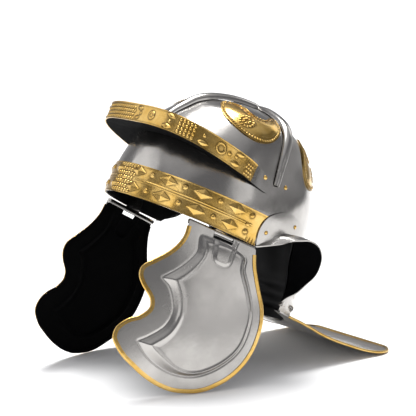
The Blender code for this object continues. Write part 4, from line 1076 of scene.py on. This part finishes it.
cheekRows = np.array([
    # down, front, rear: shares of depth and width
    [0.000, 0.006, 0.539], [0.087, 0.012, 0.572], [0.157, -0.009, 0.616],
    [0.228, -0.056, 0.669], [0.304, -0.130, 0.730], [0.363, -0.189, 0.762],
    [0.417, -0.192, 0.780], [0.467, -0.151, 0.788], [0.515, -0.080, 0.790],
    [0.548, -0.050, 0.789], [0.594, -0.043, 0.784], [0.651, -0.084, 0.769],
    [0.700, -0.155, 0.749], [0.759, -0.203, 0.715], [0.814, -0.210, 0.672],
    [0.854, -0.186, 0.631], [0.909, -0.105, 0.566], [0.949, 0.000, 0.495],
    [0.976, 0.087, 0.418], [0.995, 0.186, 0.340], [1.000, 0.272, 0.272],
])

panelLine = np.array([
    # along the hinge, down: the raised panel's border, millimetres
    (22.2, 7.2), (22.1, 29.9), (10.9, 51.9), (-4.7, 70.5), (5.3, 75.8), (15.4, 89.1),
    (20.4, 103), (17.3, 120), (5.5, 136.1), (-4.4, 145.7), (10.4, 155.7), (28.4, 161.7),
    (47.4, 163), (68.7, 157.8), (86.9, 145.1), (102.7, 125.9), (110.8, 106.8), (111.2, 84.7),
    (106.7, 66.1), (93.2, 45), (80.7, 28.1), (73.3, 11.9),
])
panelCorners = (3, 9)


def hingeToHelmet(points):
    front, rear = (np.array(hingeLook[k]) for k in ("front", "rear"))
    along = unit(rear - front)
    level = np.cross(along, [0, 0, 1])
    lean = math.radians(hingeLook["splay"])
    out = level * math.cos(lean) + np.array([0, 0, math.sin(lean)])
    down = np.cross(along, out)
    return (front + points[..., :1] * along + points[..., 1:2] * out + points[..., 2:] * down)


def cheekBow(along, down):
    # one parabola across times one down, highest in the middle
    across = (along / cheekLook["width"] - 0.29) / 0.5
    share = np.clip(down / cheekLook["depth"], 0, 1)
    return cheekLook["bow"] * (1 - across ** 2) * 4 * share * (1 - share)


def cheekFace(along, down, lift=0.0):
    return np.stack(np.broadcast_arrays(
        along, hingeLook["knuckle"] + cheekBow(along, down) + lift, down), axis=-1)


def borderLine(points, corners, per=12):
    # smooth closed line through the points, broken only at the corners
    order = np.roll(points, -corners[0], axis=0)
    breaks = sorted((c - corners[0]) % len(points) for c in corners) + [len(points)]
    order = np.vstack((order, order[:1]))
    parts = []
    for a, b in zip(breaks[:-1], breaks[1:]):
        run = order[a:b + 1]
        parts.append(rowCurve(run, np.linspace(0, len(run) - 1, (len(run) - 1) * per + 1))[:-1])
    return np.vstack(parts)


def cheekRelief(along, down):
    # raised field: a broad soft step in front, narrowing to a ridge and groove behind
    look = cheekLook
    depth = insideDistance(along, down, borderLine(panelLine, panelCorners, 5))
    soft = smoothStep(62, 18, along)
    step = look["step"] + look["softStep"] * soft
    raised = smoothStep(-0.2, 1, depth / step) * (look["relief"] + 1.0 * soft)
    lip = look["lip"] * np.exp(-((depth - step - 0.4) / (1.4 + 1.6 * soft)) ** 2)
    groove = -0.55 * np.exp(-((depth + 1.2) / 1.2) ** 2)
    # the boss under the hinge: a rounded box, open upwards
    bend = look["bossRound"]
    half = look["bossHalf"] - 0.1 * (down - 14) - bend
    x = np.abs(along - look["bossAlong"] - 0.04 * (down - 20)) - half
    y = down - look["bossDown"] + bend
    boss = bend - np.hypot(np.maximum(x, 0), np.maximum(y, 0)) - np.minimum(np.maximum(x, y), 0)
    sunk = np.exp(-((boss + 0.4) / 1.1) ** 2)
    field = (raised + lip + groove) * smoothStep(3, 27, down)
    return field + look["bossRise"] * smoothStep(-0.8, 5.0, boss) - 0.4 * sunk


def makeCheekPlate(side):
    # rows down the guard, each from its front edge to its rear one, on a bowed face lifted by the
    # relief; the columns over the hinge's middle knuckle start lower and leave its slot
    look, hinge = cheekLook, hingeLook
    slotA, slotB = hinge["strapStart"] - 0.5, hinge["strapStart"] + hinge["strapWidth"] + 0.5
    rows = np.linspace(0, len(cheekRows) - 1, 190)
    rows = np.sort(np.concatenate((rows, np.linspace(0, 1.2, 30)[1:-1])))
    outline = rowCurve(cheekRows, rows)
    down = outline[:, 0] * look["depth"]
    front, rear = outline[:, 1] * look["width"], outline[:, 2] * look["width"]
    width = cheekRows[0, 2] * look["width"] - cheekRows[0, 1] * look["width"]
    first = cheekRows[0, 1] * look["width"]
    a, b = (slotA - first) / width, (slotB - first) / width
    tiny = 0.0015
    columns = np.concatenate((
        np.linspace(0, a, 40), [a + tiny], np.linspace(a + tiny, b - tiny, 34)[1:-1],
        [b - tiny], np.linspace(b, 1, 80)))
    inSlot = (columns > a + tiny / 2) & (columns < b - tiny / 2)
    along = front[:, None] + (rear - front)[:, None] * columns[None, :]
    downGrid = np.repeat(down[:, None], len(columns), axis=1)
    lowest = np.where(inSlot, hinge["slotDepth"], 0.0)[None, :]
    squeeze = np.clip(1 - downGrid / 30, 0, 1)
    downGrid = downGrid + lowest * squeeze
    relief = cheekRelief(along, downGrid)
    face = cheekFace(along, downGrid, relief)
    back = cheekFace(along, downGrid, relief - sheets["steel"])
    grid = np.concatenate((face, back[:, ::-1]), axis=1)
    grid = hingeToHelmet(grid)
    grid[..., 0] *= side
    m = len(columns)
    finishRows = [0] * m + [1] * m
    finishRows[-1] = finishRows[m - 1] = 0
    word = "left" if side > 0 else "right"
    return gridMesh(f"cheek_plate_{word}", grid, wrapAround=True, finish=(steel, black),
                    finishRows=finishRows, sharp=50)


def tube(name, start, end, radius, bore, side, material):
    # a rolled knuckle: outer wall, ring ends and bore in one closed profile turned about the pin
    x = np.array([start, start, end, end])
    r = np.array([bore, radius, radius, bore])
    angle = np.linspace(0, 2 * np.pi, 33)[:-1]
    grid = np.stack((x[None, :] + 0 * angle[:, None], r * np.cos(angle)[:, None],
                     r * np.sin(angle)[:, None]), axis=-1)
    grid = hingeToHelmet(grid)
    grid[..., 0] *= side
    return gridMesh(name, grid, wrapAlong=True, wrapAround=bool(bore), finish=(material,),
                    sharp=40)


def makeCheekGuard(side):
    hinge = hingeLook
    word = "left" if side > 0 else "right"
    length = float(np.linalg.norm(np.array(hinge["rear"]) - np.array(hinge["front"])))
    slotA, slotB = hinge["strapStart"] - 0.5, hinge["strapStart"] + hinge["strapWidth"] + 0.5
    plate = makeCheekPlate(side)
    bore = hinge["pin"] + 0.1
    front = tube("front", 1.0, slotA, hinge["knuckle"], bore, side, steel)
    rear = tube("rear", slotB, length - 1.0, hinge["knuckle"], bore, side, steel)
    piece = joinMeshes(f"cheek_plate_{word}", [plate, front, rear])
    seat(piece, f"cheek_guard_{word}_body", "polished_steel", f"cheek_guard_{word}")
    strap = tube(f"strap_{word}", hinge["strapStart"], hinge["strapStart"] + hinge["strapWidth"],
                 hinge["knuckle"], bore, side, steel)
    leafPiece = makeLeaf(side)
    strap = joinMeshes(f"hinge_strap_{word}_leaf", [strap, leafPiece])
    seat(strap, "helmet", "polished_steel", f"hinge_strap_{word}")
    pin = tube(f"pin_{word}", 0.0, length, hinge["pin"], 0, side, steel)
    seat(pin, "helmet", "polished_steel", f"hinge_pin_{word}")


def makeLeaf(side):
    # the strap's leaf: from the knuckle up inside the bowl, following its inner wall
    hinge = hingeLook
    u = np.linspace(hinge["strapStart"], hinge["strapStart"] + hinge["strapWidth"], 13)
    pinLine = hingeToHelmet(np.stack((u, 0 * u, 0 * u), axis=1))
    turn = turnAtBack(pinLine[:, 1], np.zeros_like(u))
    heights = np.linspace(0, hinge["strapLeaf"], 8)
    t, h = np.meshgrid(turn, heights, indexing="ij")
    outer = bowlPoint(t, h, -sheets["steel"] - 1.0)
    inner = bowlPoint(t, h, -sheets["steel"] - 2.2)
    low = np.stack((u, 0 * u + hinge["knuckle"] - 0.9, 0 * u - 2.15), axis=1)
    lowOut, lowIn = hingeToHelmet(low)[:, None], hingeToHelmet(low - [0, 1.2, 0])[:, None]
    grid = np.concatenate((lowOut, outer, inner[:, ::-1], lowIn), axis=1)
    grid[..., 0] *= side
    return gridMesh("leaf", grid, wrapAround=True, caps=True, finish=(steel,), sharp=50)


def makeCheekEdging(side):
    # the folded section carried down the front edge and back up the rear one, evenly spaced
    look = cheekLook
    rows = np.linspace(look["edgingStart"], len(cheekRows) - 1, 220)
    outline = rowCurve(cheekRows, rows)
    down = outline[:, 0] * look["depth"]
    front, rear = outline[:, 1] * look["width"], outline[:, 2] * look["width"]
    along = np.concatenate((front, rear[-2::-1]))
    down = np.concatenate((down, down[-2::-1]))
    arc = np.concatenate(([0], np.cumsum(np.hypot(np.diff(along), np.diff(down)))))
    even = np.linspace(0, arc[-1], 420)
    along, down = np.interp(even, arc, along), np.interp(even, arc, down)
    path = cheekFace(along, down)
    h = 2.0
    across = cheekFace(along + h, down) - cheekFace(along - h, down)
    below = cheekFace(along, down + h) - cheekFace(along, down - h)
    normal = unit(np.cross(below, across))
    tangent = unit(np.gradient(path, axis=0))
    for _ in range(3):
        tangent[1:-1] = unit(tangent[:-2] + tangent[1:-1] + tangent[2:])
    inward = unit(np.cross(normal, tangent))
    grid = channel(path - normal * sheets["steel"] / 2, normal, inward, look["edging"],
                   sheets["steel"])
    grid = hingeToHelmet(grid)
    grid[..., 0] *= side
    word = "left" if side > 0 else "right"
    painted = [1 if 7 <= k <= 17 else 0 for k in range(grid.shape[1])]
    piece = gridMesh(f"cheek_brass_{word}", grid, wrapAround=True, caps=True,
                     finish=(brass, black), finishRows=painted,
                     layers={"hollow": np.zeros(grid.shape[:2])}, sharp=45)
    seat(piece, f"cheek_guard_{word}_body", "polished_brass", f"cheek_edging_{word}")


for side in (1, -1):
    makeCheekGuard(side)
    makeCheekEdging(side)
print("cheek guards made")


# rivets

rivetLook = {
    "radius": 2.5, "rise": 1.5, "onPlate": 2 * sheets["gap"] + sheets["steel"],
    "onBand": 2 * sheets["gap"] + sheets["brass"] + 0.6, "onBowl": sheets["gap"],
    # name, turn, height and what the head sits on
    "pairs": (
        ("ear_rivet_front", 11.0, 19.0, "onPlate"),
        ("ear_rivet_rear", 30.5, 40.5, "onPlate"),
        ("brace_rivet", 15.5, 76.0, "onBowl"),
        ("band_rivet", -1.0, 18.3, "onBand"),
    ),
    "singles": (
        ("brace_rivet_rear", 90.0, 68.0, "onBowl"),
        ("band_rivet_front", -90.0, 18.3, "onBand"),
    ),
    "peakTurn": -0.2, "peakLevel": 0.73,
}


def makeRivet(name, point, normal, node):
    # a domed head turned about the surface's normal
    r, h = rivetLook["radius"], rivetLook["rise"]
    t = np.linspace(0, 1, 10)
    radius = np.concatenate((r * np.sin(t * np.pi / 2), [0]))
    height = np.concatenate((h * np.cos(t * np.pi / 2), [0]))
    angle = np.linspace(0, 2 * np.pi, 29)[:-1]
    side = unit(np.cross(normal, [0.1, 0.9, 0.43]))
    other = np.cross(normal, side)
    grid = (point + side * (radius * np.cos(angle)[:, None])[..., None]
            + other * (radius * np.sin(angle)[:, None])[..., None]
            + normal * (height + 0 * angle[:, None])[..., None])
    piece = gridMesh(name, grid, wrapAlong=True, finish=(brass,), sharp=50,
                     layers={"hollow": np.zeros(grid.shape[:2])})
    return seat(piece, "helmet", "polished_brass", node)


def makeRivets():
    look = rivetLook
    for name, turn, height, under in look["pairs"]:
        place = placeAt(height)
        normal = bowlNormal(np.array(turn), place)
        point = onBowl(np.array(turn), place) + normal * look[under]
        for side, word in ((1, "left"), (-1, "right")):
            flip = np.array([side, 1, 1])
            makeRivet(f"{name}_head_{word}", point * flip, normal * flip, f"{name}_{word}")
    for name, turn, height, under in look["singles"]:
        place = placeAt(height)
        normal = unit(bowlNormal(np.array(turn), place) * [0, 1, 1])
        point = (onBowl(np.array(turn), place) + normal * look[under]) * [0, 1, 1]
        makeRivet(f"{name}_head", point, normal, name)
    middle = lipPoint(np.array(look["peakTurn"]), np.array(look["peakLevel"]), -sheets["gap"])
    out = unit(middle * [1, 1, 0])
    for side, word in ((1, "left"), (-1, "right")):
        flip = np.array([side, 1, 1])
        makeRivet(f"peak_rivet_head_{word}", middle * flip, out * flip, f"peak_rivet_{word}")


makeRivets()
print("rivets made")


# floor, light and camera

def floorPaper():
    # matt white background paper: even, with a trace of tooth
    material, tree, shader = blankMaterial("whiteBackgroundPaper")
    place = addNode(tree, "TexCoord").outputs["Object"]
    tooth = addNode(tree, "TexNoise", Vector=place, Scale=900.0, Detail=2.0).outputs["Fac"]
    bump = addNode(tree, "Bump", Height=tooth, Strength=0.05, Distance=0.0001).outputs[0]
    tree.links.new(bump, shader.inputs["Normal"])
    shader.inputs["Base Color"].default_value = linear("#FBFBFB")
    shader.inputs["Roughness"].default_value = 0.9
    shader.inputs["Specular IOR Level"].default_value = 0.1
    return material


# metres along the line of sight and across it
paperLook = {
    "ahead": (-0.829, 0.559, 0), "across": (0.559, 0.829, 0),
    "near": -6, "far": 14, "left": -1.36, "right": 0.95,
}


def makeFloor():
    # a wide strip of paper laid out along the line of sight
    look = paperLook
    ahead, across = np.array(look["ahead"]), np.array(look["across"])
    mesh = bpy.data.meshes.new("floor")
    ends = (("near", "left"), ("near", "right"), ("far", "right"), ("far", "left"))
    corners = [ahead * look[a] + across * look[b] for a, b in ends]
    mesh.from_pydata([tuple(c) for c in corners], [], [(0, 1, 2, 3)])
    mesh.materials.append(floorPaper())
    floor = bpy.data.objects.new("floor", mesh)
    bpy.context.scene.collection.objects.link(floor)


lightLook = {
    "sunPower": 3.1, "sunSpread": 28, "sunWay": (0.36, -0.24, -1),
    # name, place and size in metres, power in watts
    "boxes": (
        ("keyBox", (2.3, 0.8, 0.7), 1.1, 3.0),
        ("topBox", (-0.2, -0.3, 2.4), 1.4, 12),
        ("fillBox", (-1.8, -1.8, 1.3), 2.2, 15),
        ("frontBox", (0.8, -2.3, 0.9), 1.4, 9),
        ("rimBox", (-0.4, 2.2, 1.3), 1.2, 6),
    ),
    "aim": (0, 0, 0.16),
}


def makeLights():
    # white paper lit from above; the room that the metal mirrors is greyer than the paper
    world = bpy.data.worlds.new("studio")
    bpy.context.scene.world = world
    world.use_nodes = True
    tree = world.node_tree
    back = tree.nodes["Background"]
    direction = addNode(tree, "TexCoord").outputs["Generated"]
    parts = addNode(tree, "SeparateXYZ", Vector=direction).outputs
    height = addNode(tree, "MapRange", Value=parts["Z"], From_Min=-1.0).outputs[0]
    room = ramp(tree, height, [(0.43, linear("#58585A")), (0.48, linear("#B4B4B6")),
                               (0.52, linear("#C0C0C2")), (0.6, linear("#8A8A8C")),
                               (0.775, linear("#747478")), (0.95, linear("#D8D8DA"))])
    behind = ramp(tree, parts["Y"], [(0.45, linear("#FFFFFF")), (0.85, linear("#F4F4F4"))])
    dim = addNode(tree, "Mix", {"data_type": "RGBA", "blend_type": "MULTIPLY"}, Factor=1.0,
                  _6=room, _7=behind).outputs[2]
    seen = addNode(tree, "LightPath").outputs["Is Camera Ray"]
    sky = addNode(tree, "Mix", {"data_type": "RGBA"}, Factor=seen, _6=dim,
                  _7=linear("#FFFFFF")).outputs[2]
    tree.links.new(sky, back.inputs["Color"])
    back.inputs["Strength"].default_value = 1.0
    sun = bpy.data.lights.new("skylight", "SUN")
    sun.energy = lightLook["sunPower"]
    sun.angle = math.radians(lightLook["sunSpread"])
    holder = bpy.data.objects.new("skylight", sun)
    bpy.context.scene.collection.objects.link(holder)
    holder.rotation_euler = aimRotation(lightLook["sunWay"])
    for name, place, size, power in lightLook["boxes"]:
        light = bpy.data.lights.new(name, "AREA")
        light.size = size
        light.energy = power
        holder = bpy.data.objects.new(name, light)
        bpy.context.scene.collection.objects.link(holder)
        holder.location = place
        aim = np.array(lightLook["aim"]) - np.array(place)
        holder.rotation_euler = aimRotation(aim)


def aimRotation(direction):
    return Vector(direction).to_track_quat("-Z", "Y").to_euler()


cameraLook = {
    "lens": 176.0, "sensor": 36, "place": (1.9437, -1.3272, 0.5784),
    "back": (0.8176, -0.5514, 0.1659), "right": (0.5592, 0.8290, 0.0),
}


def makeCamera():
    # level camera at the photograph's angle
    camera = bpy.data.cameras.new("camera")
    camera.lens = cameraLook["lens"]
    camera.sensor_width = cameraLook["sensor"]
    camera.sensor_fit = "HORIZONTAL"
    camera.clip_end = 50
    holder = bpy.data.objects.new("camera", camera)
    bpy.context.scene.collection.objects.link(holder)
    back = Vector(cameraLook["back"]).normalized()
    right = Vector(cameraLook["right"]).normalized()
    up = back.cross(right)
    turn = Matrix((right, up, back)).transposed()
    holder.matrix_world = Matrix.Translation(cameraLook["place"]) @ turn.to_4x4()
    bpy.context.scene.camera = holder


makeFloor()
makeLights()
makeCamera()
bpy.context.scene.view_settings.view_transform = "Standard"
print("stage made")
